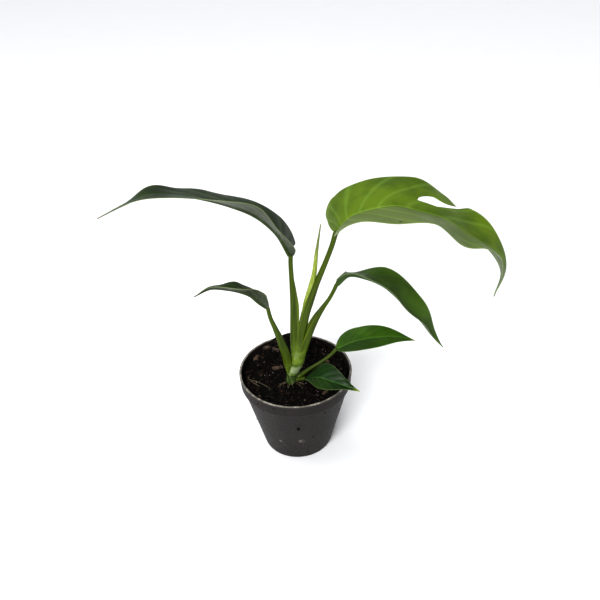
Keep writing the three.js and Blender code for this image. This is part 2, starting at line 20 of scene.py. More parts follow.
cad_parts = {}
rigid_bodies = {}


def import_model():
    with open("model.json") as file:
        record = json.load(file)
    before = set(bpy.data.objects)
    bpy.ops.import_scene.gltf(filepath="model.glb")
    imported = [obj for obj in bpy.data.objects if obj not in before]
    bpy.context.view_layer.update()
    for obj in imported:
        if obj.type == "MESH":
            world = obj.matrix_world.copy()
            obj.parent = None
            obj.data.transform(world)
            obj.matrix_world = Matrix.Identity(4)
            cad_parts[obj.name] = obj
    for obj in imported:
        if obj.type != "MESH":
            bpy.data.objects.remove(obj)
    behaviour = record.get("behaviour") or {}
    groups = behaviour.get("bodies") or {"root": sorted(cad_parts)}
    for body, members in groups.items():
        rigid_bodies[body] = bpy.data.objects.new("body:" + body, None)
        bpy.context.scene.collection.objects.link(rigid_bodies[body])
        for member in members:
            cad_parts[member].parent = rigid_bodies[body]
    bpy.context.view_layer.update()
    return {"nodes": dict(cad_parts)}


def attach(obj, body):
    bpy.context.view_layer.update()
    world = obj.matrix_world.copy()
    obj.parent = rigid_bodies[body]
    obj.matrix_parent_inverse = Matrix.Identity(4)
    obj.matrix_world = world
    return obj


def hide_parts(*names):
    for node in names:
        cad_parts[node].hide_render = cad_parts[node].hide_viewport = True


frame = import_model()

MM = 0.001
rng = np.random.default_rng(11)
objects = bpy.context.scene.collection.objects
print("CAD nodes:", len(frame["nodes"]))

# %% [markdown]
# ## The camera
#
# The photograph looks down at the pot from the front. The camera stands 350 mm from the point it aims
# at, tips down by 34.5 degrees and leans by about two degrees, as one that is held freely does. Its
# three axes are written out, so nothing here depends on the size of the picture.

# %% Camera
CAMERA_TIP = math.radians(34.47)
CAMERA_LEAN = math.radians(-2.23)
CAMERA_DISTANCE = 350
CAMERA_AIM = np.array([3.83, 0, 92.15])
CAMERA_LENS = 42.2
CAMERA_SENSOR = 36

forward = np.array([0, math.cos(CAMERA_TIP), -math.sin(CAMERA_TIP)])
level_up = np.array([0, math.sin(CAMERA_TIP), math.cos(CAMERA_TIP)])
level_right = np.array([1.0, 0, 0])
right = math.cos(CAMERA_LEAN) * level_right + math.sin(CAMERA_LEAN) * level_up
up = -math.sin(CAMERA_LEAN) * level_right + math.cos(CAMERA_LEAN) * level_up

camera = bpy.data.objects.new("camera", bpy.data.cameras.new("camera"))
camera.data.lens = CAMERA_LENS
camera.data.sensor_width = CAMERA_SENSOR
pose = np.eye(4)
pose[:3, 0], pose[:3, 1], pose[:3, 2] = right, up, -forward
pose[:3, 3] = (CAMERA_AIM - CAMERA_DISTANCE * forward) * MM
camera.matrix_world = Matrix(pose.tolist())
objects.link(camera)
bpy.context.scene.camera = camera
print("camera at", [round(float(v), 4) for v in pose[:3, 3]])

# %% [markdown]
# ## Curves, noise and meshes
#
# Four helpers make every shape in this lesson. A spline runs smoothly through a few rows of numbers.
# A table does the same for a single value, such as an angle along a leaf. Grain is noise with a real
# size in millimetres. The last helper puts arrays of points and faces into a mesh, closes its seams
# and hands the piece over to the CAD body that carries it.

# %% Splines and tables
def spline(rows, share):
    """Centripetal Catmull-Rom curve through the rows, read at shares from 0 to 1.

    Between two rows the curve is a cubic with the rows as its ends. Its slope at each row weighs the
    two neighbouring steps by the square root of their length, so it never loops or overshoots.
    """
    rows = np.asarray(rows, float)
    steps = len(rows) - 1
    rows = np.vstack([2 * rows[0] - rows[1], rows, 2 * rows[-1] - rows[-2]])
    gap = np.sqrt(np.linalg.norm(np.diff(rows[:, :3], axis=0), axis=1))[:, None]
    spot = np.clip(np.ravel(share), 0, 1) * steps
    i = np.minimum(spot.astype(int), steps - 1)
    w = (spot - i)[:, None]
    a, b, c, d = rows[i], rows[i + 1], rows[i + 2], rows[i + 3]
    g0, g1, g2 = gap[i], gap[i + 1], gap[i + 2]
    slope_b = ((b - a) / g0 - (c - a) / (g0 + g1) + (c - b) / g1) * g1
    slope_c = ((c - b) / g1 - (d - b) / (g1 + g2) + (d - c) / g2) * g1
    keep = 2 * w**3 - 3 * w**2
    return b * (keep + 1) - c * keep + slope_b * (w**3 - 2 * w**2 + w) + slope_c * (w**3 - w**2)


def table(values, share):
    """One smooth value along a piece, from a few values spread evenly from its start to its end."""
    rows = [[k, 0, 0, value] for k, value in enumerate(values)]
    return spline(rows, share)[:, 3].reshape(np.shape(share))


def smooth_step(x, low, high):
    """0 below low, 1 above high, and a soft S between them: 3w^2 - 2w^3."""
    w = np.clip((x - low) / (high - low), 0, 1)
    return w * w * (3 - 2 * w)


print("a table through 0, 1, 0 reads", table([0, 1, 0], np.array([0, 0.25, 0.5])).round(2))

# %% Noise with a size
def grain(points, size, seed):
    """Value noise from -1 to 1. A lattice of cubes of this size holds a random height at each corner,
    and a point takes the mean of its eight corners, weighted by a soft step of how near each is."""
    cell = np.floor(points / size)
    part = points / size - cell
    part = part * part * (3 - 2 * part)
    total = np.zeros(len(points))
    for corner in np.ndindex(2, 2, 2):
        key = (cell + corner) @ np.array([127.1, 311.7, 74.7]) + 17.3 * seed
        height = np.modf(np.abs(np.sin(key) * 43758.5453))[0]
        total += height * np.prod(np.where(corner, part, 1 - part), axis=1)
    return 2 * total - 1


print("grain at two spots", grain(np.array([[0.5, 0, 0], [9, 4, 1]]), 2, 1).round(2))

# %% From arrays to a piece
WELD = 2e-6  # metres: points nearer than this are one point, so poles and seams close


def quads(rows, columns, wrap=False):
    """Faces of a grid of points, numbered row by row. With wrap the last column meets the first."""
    i, j = np.mgrid[0 : rows - 1, 0 : columns if wrap else columns - 1]
    i, j = i.ravel(), j.ravel()
    k = (j + 1) % columns
    return np.stack([i * columns + j, i * columns + k, (i + 1) * columns + k, (i + 1) * columns + j], 1)


def add_piece(name, points, faces, skins, stands_for=(), marks=None, skin_of=None, crease=50):
    """Makes one mesh from points in millimetres, welds it, and lets it ride on the CAD body.

    marks holds named values for each point, which a material can read. skin_of gives each face's
    place in skins. Edges sharper than crease, in degrees, stay crisp.
    """
    mesh = bpy.data.meshes.new(name)
    mesh.from_pydata((np.asarray(points) * MM).tolist(), [], np.asarray(faces).tolist())
    for label, values in (marks or {}).items():
        kind = "FLOAT" if np.ndim(values) == 1 else "FLOAT_VECTOR"
        field = "value" if kind == "FLOAT" else "vector"
        layer = mesh.attributes.new(label, kind, "POINT")
        layer.data.foreach_set(field, np.ravel(values).astype(np.float32))
    if skin_of is not None:
        mesh.polygons.foreach_set("material_index", np.asarray(skin_of, np.int32))
    for skin in skins:
        mesh.materials.append(skin)
    shape = bmesh.new()
    shape.from_mesh(mesh)
    bmesh.ops.remove_doubles(shape, verts=shape.verts, dist=WELD)
    shape.to_mesh(mesh)
    shape.free()
    mesh.shade_smooth()
    mesh.set_sharp_from_angle(angle=math.radians(crease))
    piece = bpy.data.objects.new(name, mesh)
    objects.link(piece)
    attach(piece, "root")
    if stands_for:
        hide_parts(*stands_for)
    print(f"{name}: {len(mesh.vertices)} points, {len(mesh.polygons)} faces")
    return piece


print("a closed ring of 2 rows and 4 columns has", len(quads(2, 4, wrap=True)), "faces")

# %% [markdown]
# ## Colours and nodes
#
# Colours are written as the hex values that a paint program shows. Blender's shaders work with light,
# which isn't spaced like those values, so one function turns them over. A second one adds a node of
# any kind with its settings and its links, and every finish below is built from it. SOFT and COLOUR
# are settings that come back often: a soft step of a value, and a mix of two colours. Most finishes
# are then painted in layers over a first colour, as a model maker would, and end at the same shader.

# %% Helpers for finishes
SOFT = {"interpolation_type": "SMOOTHSTEP"}
COLOUR = {"data_type": "RGBA", "out": 2}


def linear(code):
    """The light that a hex colour stands for: the sRGB curve undone, channel by channel."""
    c = np.array([int(code[k : k + 2], 16) for k in (1, 3, 5)]) / 255
    light = np.where(c <= 0.04045, c / 12.92, ((c + 0.055) / 1.055) ** 2.4)
    return (*light.tolist(), 1.0)


def add(tree, kind, sockets, out=0, **settings):
    """Adds a node and hands back one of its outputs. Each socket is named by its label or number, and
    takes another node's output, a hex colour or a plain value."""
    made = tree.nodes.new("ShaderNode" + kind)
    for name, value in settings.items():
        setattr(made, name, value)
    for name, value in sockets.items():
        if isinstance(value, bpy.types.NodeSocket):
            tree.links.new(value, made.inputs[name])
        else:
            made.inputs[name].default_value = linear(value) if isinstance(value, str) else value
    return made.outputs[out]


def new_finish(name):
    """A material, its tree, and the object's own coordinates, where one unit is a metre."""
    made = bpy.data.materials.new(name)
    made.use_nodes = True
    return made, made.node_tree, add(made.node_tree, "TexCoord", {}, "Object")


def paint(tree, colour, *layers):
    """Lays colours over one another. A layer is a colour and the steps that say where it shows. A step
    is a value, two readings of it and the layer's share at each, with a soft S between them. A value
    alone is its own share. The shares of two steps are multiplied."""
    for over, *steps in layers:
        share = None
        for step in steps:
            if isinstance(step, tuple):
                step = add(tree, "MapRange", dict(enumerate(step)), **SOFT)
            if share is not None:
                step = add(tree, "Math", {0: share, 1: step}, operation="MULTIPLY")
            share = step
        colour = add(tree, "Mix", {0: share, 6: colour, 7: over}, **COLOUR)
    return colour


def dress(tree, colour, rough, relief, depth, **fixed):
    """Feeds the Principled shader: its colour, its roughness, a height that stands out by depth in mm,
    and fixed numbers, where an underscore stands for a space. A roughness given as a value, two
    readings of it and a number for each runs evenly from one number to the other."""
    if isinstance(rough, tuple):
        rough = add(tree, "MapRange", dict(enumerate(rough)))
    bump = add(tree, "Bump", {"Height": relief, "Distance": depth * MM})
    shader = tree.nodes["Principled BSDF"]
    for name, value in {"Base_Color": colour, "Roughness": rough, "Normal": bump, **fixed}.items():
        socket = shader.inputs[name.replace("_", " ")]
        if isinstance(value, bpy.types.NodeSocket):
            tree.links.new(value, socket)
        else:
            socket.default_value = value


def scale_of(size_mm):
    """The noise scale that gives patches about this wide."""
    return 1000 / size_mm


print("leaf green", [round(v, 3) for v in linear("#5d8a1c")])

# %% [markdown]
# ## The pot
#
# The pot is a thin tapered cup of recycled polypropylene, thermoformed with a stepped band under the
# rim. A profile turned about the upright axis makes it, with every corner rounded first, because a
# moulded edge is never sharp. Its drain holes are cut with a Boolean, which suits five round holes in
# a floor that isn't flat.

# %% Pot sizes
POT_BASE_RADIUS = 18.5
POT_BAND_BOTTOM = 40.6
POT_BAND_RADIUS = 29.6
POT_WALL_TOP_RADIUS = 28.6
POT_SIDES = 200
SOIL_RADIUS = 28.2


def wall_radius(z):
    """Radius of the tapered wall outside, at a height."""
    return POT_BASE_RADIUS + (POT_WALL_TOP_RADIUS - POT_BASE_RADIUS) * z / POT_BAND_BOTTOM


def on_wall(degrees, z, out=0):
    """Spots on the outside of the pot, by their turn from the front, height and stand-off."""
    turn = np.radians(degrees)
    radius = np.where(z < POT_BAND_BOTTOM, wall_radius(z), POT_BAND_RADIUS) + out
    return np.stack([radius * np.sin(turn), -radius * np.cos(turn), z + 0 * radius], -1)


print("the front of the wall, half way up:", on_wall(0, 20).round(2))

# %% Pot finish: dark grey polypropylene, formed, matt, with a worn lip that also carries a painted highlight
LIP_LOW = 47.3         # where the pale lip begins and where it is full, in millimetres: rubbed wear and a painted highlight
LIP_HIGH = 47.9
BAND_SHADE_LOW = 39          # painted shade under the band's step: where it begins, is full and has gone
BAND_SHADE_FULL = 40.3
BAND_SHADE_HIGH = 40.9
SCUFFS = [[5.5, 16.5, 2.2], [2.5, 16.9, 1.4], [-25, 14.9, 1.5]]   # degrees, height, width


def make_pot_finish():
    """Recycled polypropylene: matt, slightly uneven in colour, chalky where the lip is rubbed and paler
    there as a painted highlight, with painted shade in a line under the band.
    """
    made, tree, place = new_finish("recycled_polypropylene")
    height = add(tree, "SeparateXYZ", {0: place}, 2)
    cloud, flecks, chips, grit = [
        add(tree, "TexNoise", {0: place, "Scale": scale_of(size), "Detail": detail})
        for size, detail in ((14, 3), (1.1, 4), (2.6, 4), (0.7, 4))
    ]
    colour = paint(
        tree, "#1a1715",
        ("#221e1c", (cloud, 0.35, 0.65, 0, 1)),
        ("#17120f", (flecks, 0.62, 0.74, 0, 0.55)),
        # Painted shade: a dark line just under the band's step, where its overhang would cast shade.
        ("#17120f", (height, BAND_SHADE_LOW * MM, BAND_SHADE_FULL * MM, 0, 0.5),
         (height, BAND_SHADE_FULL * MM, BAND_SHADE_HIGH * MM, 1, 0)),
        # The pale lip is partly rubbed wear and partly a painted highlight on the rim's top, which faces
        # the light.
        ("#a8a298", (height, LIP_LOW * MM, LIP_HIGH * MM, 0, 1), (chips, 0.42, 0.66, 0.35, 0.9)),
    )
    for turn, z, width in SCUFFS:
        away = add(tree, "VectorMath", {0: place, 1: on_wall(turn, z) * MM}, "Value",
                   operation="DISTANCE")
        colour = paint(tree, colour, ("#857f76", (away, 0, width * MM, 1, 0), (chips, 0.4, 0.6, 0, 0.7)))
    dress(tree, colour, (flecks, 0.3, 0.7, 0.5, 0.64), grit, 0.04, Specular_IOR_Level=0.3)
    return made


pot_finish = make_pot_finish()
print("pot:", len(pot_finish.node_tree.nodes), "nodes")

# %% Pot shape
def rounded(profile, radius, steps=5):
    """Rounds the corners of a profile: each corner gives way to a curve whose ends lie on its two
    edges, and whose points are the weighted mean (1-w)^2 before + 2w(1-w) corner + w^2 after."""
    p = np.array(profile, float)
    before, after = p[:-2] - p[1:-1], p[2:] - p[1:-1]
    lengths = [np.linalg.norm(v, axis=1, keepdims=True) for v in (before, after)]
    reach = [np.minimum(radius, 0.45 * n) for n in lengths]
    start = p[1:-1] + before / lengths[0] * reach[0]
    end = p[1:-1] + after / lengths[1] * reach[1]
    w = np.linspace(0, 1, steps)[None, :, None]
    bends = (1 - w) ** 2 * start[:, None] + 2 * w * (1 - w) * p[1:-1, None] + w**2 * end[:, None]
    return np.vstack([p[:1], bends.reshape(-1, 2), p[-1:]])


POT_PROFILE = [
    [0, 0], [11, 0], [12.2, 1.4], [15.8, 1.4], [17, 0], [18.1, 0], [18.75, 0.6], [28.5, 40.1],
    [29.5, 40.8], [29.7, 46.5], [30, 47], [30, 47.8], [29.6, 48], [29.0, 48], [28.8, 47.6],
    [28.5, 41.2], [27.8, 40.2], [18.3, 2.3], [16.9, 0.9], [16.6, 0.9], [15.7, 2.3], [12.3, 2.3],
    [11.2, 0.9], [0, 0.9],
]


def turned(profile, sides):
    """A profile of radius and height turned about the upright axis: (r cos a, r sin a, z)."""
    angle = np.linspace(0, 2 * np.pi, sides, endpoint=False)
    radius, height = profile[:, :1], profile[:, 1:]
    return np.stack([radius * np.cos(angle), radius * np.sin(angle), height + 0 * angle], -1)


def worn(grid):
    """The lip after use: its height and radius waver by about a tenth of a millimetre."""
    flat = grid.reshape(-1, 3)
    lip = smooth_step(flat[:, 2], 46, 48)
    flat[:, 2] -= lip * 0.12 * (1 + grain(flat * [1, 1, 0.1], 3.5, 2))
    flat[:, :2] *= (1 + lip * 0.004 * grain(flat * [1, 1, 0.1], 9, 3))[:, None]
    return flat


pot_rows = rounded(POT_PROFILE, 0.5)
pot_points = worn(turned(pot_rows, POT_SIDES))
pot_faces = quads(len(pot_rows), POT_SIDES, wrap=True)
pot = add_piece("pot_shell", pot_points, pot_faces, [pot_finish], ["pot"], crease=70)

# %% Drain holes
DRAIN_COUNT = 5
DRAIN_CIRCLE = 14
DRAIN_RADIUS = 1.7
DRAIN_LEVEL = 1.4       # middle of the floor's raised channel
DRILL_LENGTH = 6


def drill_holes(piece):
    """Cuts the holes with one mesh of five upright rods, then keeps the evaluated result."""
    cutter = bmesh.new()
    for turn in (np.arange(DRAIN_COUNT) + 0.5) * 2 * np.pi / DRAIN_COUNT:
        rod = bmesh.ops.create_cone(cutter, cap_ends=True, segments=24, depth=DRILL_LENGTH * MM,
                                    radius1=DRAIN_RADIUS * MM, radius2=DRAIN_RADIUS * MM)["verts"]
        spot = np.array([DRAIN_CIRCLE * math.cos(turn), DRAIN_CIRCLE * math.sin(turn), DRAIN_LEVEL])
        bmesh.ops.translate(cutter, verts=rod, vec=spot * MM)
    mesh = bpy.data.meshes.new("drill")
    cutter.to_mesh(mesh)
    cutter.free()
    drill = bpy.data.objects.new("drill", mesh)
    objects.link(drill)
    cut = piece.modifiers.new("holes", "BOOLEAN")
    cut.object, cut.operation, cut.solver = drill, "DIFFERENCE", "EXACT"
    bpy.context.view_layer.update()
    evaluated = piece.evaluated_get(bpy.context.evaluated_depsgraph_get())
    solid = bpy.data.meshes.new_from_object(evaluated)
    piece.modifiers.clear()
    piece.data = solid
    bpy.data.objects.remove(drill)
    print("pot with holes:", len(solid.polygons), "faces")


drill_holes(pot)

# %% [markdown]
# ## The peat
#
# Moist peat is almost black, crumbly and full of short fibres. The ground is a disc of points raised by
# the same soft lumps as the CAD, with three sizes of noise on top. Crumbs, fibres, bark and pale grains
# then lie on it as small meshes, because the eye reads soil by the light on separate bits.

# %% Peat finish: moist sphagnum peat
def make_peat_finish():
    """Sphagnum peat: dark and fibrous. Each crumb carries a tone, from black to rusty brown."""
    made, tree, place = new_finish("moist_peat")
    tone = add(tree, "Attribute", {}, "Fac", attribute_name="tone")
    patch, damp, grit = [
        add(tree, "TexNoise", {0: place, "Scale": scale_of(size), "Detail": detail})
        for size, detail in ((2.2, 5), (1.3, 3), (0.35, 4))
    ]
    rusty = paint(tree, "#1a110b", ("#3c291c", (patch, 0.35, 0.7, 0, 1)))
    colour = paint(tree, "#040302",
                   ("#0f0a07", (patch, 0.35, 0.7, 0, 1)), (rusty, (tone, 0.82, 1, 0, 1)))
    rough = add(tree, "MapRange", {0: damp, 1: 0.3, 2: 0.6, 3: 0.6, 4: 0.95}, **SOFT)
    dress(tree, colour, rough, grit, 0.12, Specular_IOR_Level=0.12)
    return made


peat_finish = make_peat_finish()
print("peat:", len(peat_finish.node_tree.nodes), "nodes")

# %% The ground
SOIL_LEVEL = 44.2
HEAP_HEIGHT = 6.2
HEAP_SPREAD = 18
MOUND_HEIGHT = 0.9
MOUND_SPREAD = 6


def soil_height(x, y):
    """Height of the soil: two soft waves, a heap that leans on the back of the rim, a mound at the foot
    of the stem and a dip at the wall. The heap is a soft step in y times a bell in x."""
    lumps = 0.4 * np.sin(0.7 * x + 1.3) * np.sin(0.6 * y + 0.4) + 0.25 * np.sin(0.9 * x - 0.8 * y)
    rise = smooth_step(y, 12, 27)
    heap = HEAP_HEIGHT * rise * np.exp(-(((x + 3) / HEAP_SPREAD) ** 2))
    edge = 0.7 * smooth_step(np.hypot(x, y), 25, 28) * (1 - rise)
    mound = MOUND_HEIGHT * np.exp(-((x + 2) ** 2 + (y + 7) ** 2) / MOUND_SPREAD**2)
    return SOIL_LEVEL + lumps + heap + mound - edge


def crumbly(points):
    """Lumps of three sizes, in millimetres up and down."""
    flat = points * [1, 1, 0]
    return 0.55 * grain(flat, 2.3, 5) + 0.32 * grain(flat, 1.1, 6) + 0.18 * grain(flat, 0.55, 7)


SOIL_RINGS = 105
SOIL_SIDES = 400


def make_soil():
    """A closed body: rings from the middle out to the wall, then down the wall and in underneath."""
    angle = np.linspace(0, 2 * np.pi, SOIL_SIDES, endpoint=False)
    radius = SOIL_RADIUS * np.linspace(0, 1, SOIL_RINGS)[:, None]
    x, y = radius * np.cos(angle), radius * np.sin(angle)
    top = np.stack([x, y, soil_height(x, y)], -1)
    calm = 1 - smooth_step(radius + 0 * angle, 27, SOIL_RADIUS)
    top[..., 2] += crumbly(top.reshape(-1, 3)).reshape(x.shape) * calm
    skirt = turned(np.array([[SOIL_RADIUS, 41.4], [27.5, 40.4], [18.2, 2.6], [0, 2.6]]), SOIL_SIDES)
    points = np.vstack([top.reshape(-1, 3), skirt.reshape(-1, 3)])
    faces = quads(SOIL_RINGS + 4, SOIL_SIDES, wrap=True)[:, ::-1]
    return points, faces


soil_points, soil_faces = make_soil()
add_piece("peat_bed", soil_points, soil_faces, [peat_finish], ["soil"],
          {"tone": 0.5 + 0.5 * grain(soil_points, 3.1, 9)})

# %% Crumbs
def crumb_shape():
    """The twelve corners and twenty faces of an icosahedron, a cheap round lump."""
    shape = bmesh.new()
    bmesh.ops.create_icosphere(shape, subdivisions=1, radius=1)
    points = np.array([v.co for v in shape.verts])
    faces = np.array([[v.index for v in f.verts] for f in shape.faces])
    shape.free()
    return points, faces


def scatter_lumps(centres, sizes, flat=0.7):
    """A lump at each centre, turned about z, squashed and with every corner moved at random."""
    points, faces = crumb_shape()
    count = len(centres)
    turn = rng.uniform(0, 2 * np.pi, count)[:, None]
    jitter = points[None] * rng.uniform(0.6, 1.25, (count, len(points), 1))
    long, wide = rng.uniform(0.8, 1.5, count), rng.uniform(0.6, 1.1, count)
    stretch = np.stack([long, wide, np.full(count, flat)], 1)
    jitter = jitter * stretch[:, None]
    x = jitter[..., 0] * np.cos(turn) - jitter[..., 1] * np.sin(turn)
    y = jitter[..., 0] * np.sin(turn) + jitter[..., 1] * np.cos(turn)
    lump = np.stack([x, y, jitter[..., 2]], -1) * sizes[:, None, None] + centres[:, None]
    index = faces[None] + (np.arange(count) * len(points))[:, None, None]
    return lump.reshape(-1, 3), index.reshape(-1, 3)


def on_soil(count, reach=27.4):
    """Random spots on the soil, evenly spread: the radius goes as the square root of the draw."""
    radius = reach * np.sqrt(rng.uniform(0, 1, count))
    turn = rng.uniform(0, 2 * np.pi, count)
    x, y = radius * np.cos(turn), radius * np.sin(turn)
    spot = np.stack([x, y, soil_height(x, y)], 1)
    spot[:, 2] += crumbly(spot)
    return spot


def each(values, points):
    """Repeats one value per lump for all of the points that it has."""
    return np.repeat(values, len(points) // len(values))


CRUMBS = 3200
crumb_sizes = 0.28 + 0.75 * rng.uniform(0, 1, CRUMBS) ** 3
crumb_points, crumb_faces = scatter_lumps(on_soil(CRUMBS), crumb_sizes)
add_piece("peat_crumbs", crumb_points, crumb_faces, [peat_finish],
          marks={"tone": each(rng.uniform(0, 1, CRUMBS) ** 1.5, crumb_points)}, crease=180)

# %% Peat fibres
def strands(starts, ends, sag, radius, steps=7, sides=5):
    """Thin bent threads. Each runs from a start to an end and bows by sag: p = a + (b-a)w + sag 4w(1-w),
    with a small triangle or pentagon carried along it."""
    count = len(starts)
    w = np.linspace(0, 1, steps)[None, :, None]
    line = starts[:, None] + (ends - starts)[:, None] * w + sag[:, None] * (4 * w * (1 - w))
    run = np.gradient(line, axis=1)
    run /= np.linalg.norm(run, axis=2, keepdims=True)
    side = np.cross(run, [0.3, 0.2, 1.0])
    side /= np.linalg.norm(side, axis=2, keepdims=True)
    top = np.cross(side, run)
    angle = np.linspace(0, 2 * np.pi, sides, endpoint=False)[None, None, :, None]
    taper = (1 - 0.999 * np.abs(2 * w - 1) ** 4)[..., None]
    ring = side[:, :, None] * np.cos(angle) + top[:, :, None] * np.sin(angle)
    tube = line[:, :, None] + ring * taper * radius[:, None, None, None]
    face = quads(steps, sides, wrap=True)[None] + (np.arange(count) * steps * sides)[:, None, None]
    return tube.reshape(-1, 3), face.reshape(-1, 4)[:, ::-1]


def bows(count, across, along, low, high):
    """How far each thread bows: a random bell to both sides, and up by low to high."""
    return np.stack([rng.normal(0, across, count), rng.normal(0, along, count),
                     rng.uniform(low, high, count)], 1)


def make_fibre_finish(name, pale, dark):
    """Dry plant fibre: straw-coloured, dull, darker where it is wet. tone picks between the two."""
    made, tree, place = new_finish(name)
    tone = add(tree, "Attribute", {}, "Fac", attribute_name="tone")
    wet = add(tree, "TexNoise", {0: place, "Scale": scale_of(1.5), "Detail": 3})
    dress(tree, paint(tree, dark, (pale, tone, (wet, 0.3, 0.7, 0.4, 1))), 0.8, wet, 0.03)
    return made


FIBRES = 240
FIBRE_REACH = 27.5     # no fibre ends further out than this
start = on_soil(FIBRES, 27)
way = rng.normal(0, 1, (FIBRES, 3)) * [2.2, 2.2, 0.5]
end = start + way
off_rim = np.hypot(end[:, 0], end[:, 1]) > FIBRE_REACH
end[off_rim] = start[off_rim] - way[off_rim]
end[:, 2] = soil_height(end[:, 0], end[:, 1]) + crumbly(end) + 0.3
start[:, 2] += 0.25
sag = bows(FIBRES, 0.5, 0.5, 0.1, 0.9)
points, faces = strands(start, end, sag, rng.uniform(0.06, 0.13, FIBRES))
add_piece("peat_fibres", points, faces, [make_fibre_finish("dry_peat_fibre", "#5a412d", "#120c08")],
          marks={"tone": each(rng.uniform(0, 1, FIBRES), points)}, crease=180)

# %% Root hairs and straw
HAIRS = 15
STEM_FOOT_SPOT = [-2.4, -5.9, 45.4]
STRAW = np.array([   # each straw from its start to its end
    [[-26.6, -3.2, 44.9], [-12, -13.6, 45.1]], [[-24.6, -4.3, 44.8], [-18.5, -10.6, 45.3]],
])
turn = rng.uniform(-2.9, 0.2, HAIRS)
reach = rng.uniform(2.5, 6.5, HAIRS)
way = np.stack([np.cos(turn), np.sin(turn), 0 * turn], 1)
start = STEM_FOOT_SPOT + 3 * way
end = start + reach[:, None] * way
end[:, 2] = soil_height(end[:, 0], end[:, 1]) + 0.35
sag = np.vstack([bows(HAIRS, 0.6, 0.4, 0, 0.5), [[0.3, 0.6, 0.7], [-0.3, -0.3, 0.4]]])
width = np.concatenate([rng.uniform(0.07, 0.13, HAIRS), [0.14, 0.1]])
start, end = np.vstack([start, STRAW[:, 0]]), np.vstack([end, STRAW[:, 1]])
points, faces = strands(start, end, sag, width, steps=9)
add_piece("root_hairs", points, faces, [make_fibre_finish("pale_root_hair", "#9a8e72", "#453824")],
          marks={"tone": each(rng.uniform(0.3, 1, len(width)), points)}, crease=180)

# %% [markdown]
# ## Bark, pale grains and specks
#
# Flakes of composted bark are light brown, layered and split along the grain. A ball of points pushed
# into a flat rounded box, with noise on it, gives each flake. Small pale grains are perlite dust and
# broken shell, and specks of peat cling to the outside of the pot where it was filled.

# %% Bark flakes
def make_bark_finish():
    """Composted pine bark: layered, pale on fresh faces and dark in the splits."""
    made, tree, place = new_finish("composted_bark")
    layers = add(tree, "Mapping", {0: place, 3: (1, 1, 3.5)})
    layer = add(tree, "TexNoise", {0: layers, "Scale": scale_of(1.6), "Detail": 5})
    colour = paint(tree, "#120c08", ("#5e4a38", (layer, 0.35, 0.65, 0, 1)))
    dress(tree, colour, (layer, 0.3, 0.7, 0.75, 0.92), layer, 0.25)
    return made


bark_finish = make_bark_finish()

FLAKE_ROWS = 25
FLAKE_COLUMNS = 40
FLAKES = [   # x, y, degrees, length
    [-15.5, 20.5, 20, 5], [-21.5, 14.5, 65, 4.5], [-10.5, 18.5, -30, 4], [-9.5, 5.5, 10, 5.5],
    [15, -16.5, 40, 4], [17, 9, -50, 4.5],
]


def rounded_box(rows, columns, power):
    """A ball drawn towards a box: sines and cosines of the two angles, each raised to a power that is
    below one, which flattens the sides and keeps the corners round."""
    def boxy(v):
        return np.sign(v) * np.abs(v) ** power

    a = np.linspace(0, 2 * np.pi, columns, endpoint=False)[None]
    b = np.linspace(-np.pi / 2, np.pi / 2, rows)[:, None]
    level = boxy(np.cos(b))
    box = [level * boxy(np.cos(a)), level * boxy(np.sin(a)), boxy(np.sin(b)) + 0 * a]
    return np.stack(box, -1).reshape(-1, 3)


for number, (x, y, degrees, length) in enumerate(FLAKES, 1):
    flake = rounded_box(FLAKE_ROWS, FLAKE_COLUMNS, 0.6) * [length / 2, length / 4, 0.55]
    rough = 0.22 * grain(flake + 40 * number, 1.5, number) + 0.1 * grain(flake, 0.6, number)
    flake *= (1 + rough)[:, None]
    turn = math.radians(degrees)
    spin = [[math.cos(turn), math.sin(turn), 0], [-math.sin(turn), math.cos(turn), 0], [0, 0, 1]]
    flake = flake @ spin + [x, y, float(soil_height(x, y)) + 0.45]
    add_piece(f"bark_flake_{number}", flake, quads(FLAKE_ROWS, FLAKE_COLUMNS, wrap=True), [bark_finish],
              [f"bark_chip_{number}"])

# %% Pale grains and small bark bits
def make_grain_finish():
    """Perlite dust: white, dull, slightly glassy where it is wet."""
    made, tree, place = new_finish("perlite_dust")
    dust = add(tree, "TexNoise", {0: place, "Scale": scale_of(0.8), "Detail": 3})
    colour = paint(tree, "#8d8984", ("#d8d5cf", (dust, 0.3, 0.7, 0, 1)))
    dress(tree, colour, (dust, 0.3, 0.7, 0.35, 0.6), dust, 0.05)
    return made


BITS = 80
bit_spots = on_soil(BITS) + [0, 0, 0.25]
points, faces = scatter_lumps(bit_spots, 0.25 + 0.7 * rng.uniform(0, 1, BITS) ** 2)
add_piece("bark_bits", points, faces, [bark_finish], crease=180)

GRAINS = 70
grain_spots = on_soil(GRAINS) + [0, 0, 0.3]
points, faces = scatter_lumps(grain_spots, rng.uniform(0.1, 0.26, GRAINS))
add_piece("pale_grains", points, faces, [make_grain_finish()], crease=180)

# %% Specks on the pot wall
SPECKS = np.array([   # degrees, height, size
    [1, 28.7, 1.2], [-42, 43.9, 0.35], [-23, 45.1, 0.4], [-11, 44.6, 0.3], [31, 37.8, 0.4],
    [20, 18.6, 0.42], [15, 5.3, 0.4], [59, 30.1, 0.35], [-36, 40.6, 0.3], [-60, 34, 0.3],
    [115, 25, 0.4], [160, 38, 0.5], [205, 12, 0.4], [250, 30, 0.35], [290, 20, 0.3],
])
points, faces = scatter_lumps(on_wall(SPECKS[:, 0], SPECKS[:, 1], 0.05), SPECKS[:, 2], 1)
add_piece("wall_specks", points, faces, [peat_finish], marks={"tone": np.zeros(len(points))},
          crease=180)

# %% [markdown]
# ## The roots
#
# The roots are inside the peat, where nobody sees them, so the CAD's own solid stays and only gets the
# finish of a firm pale root.

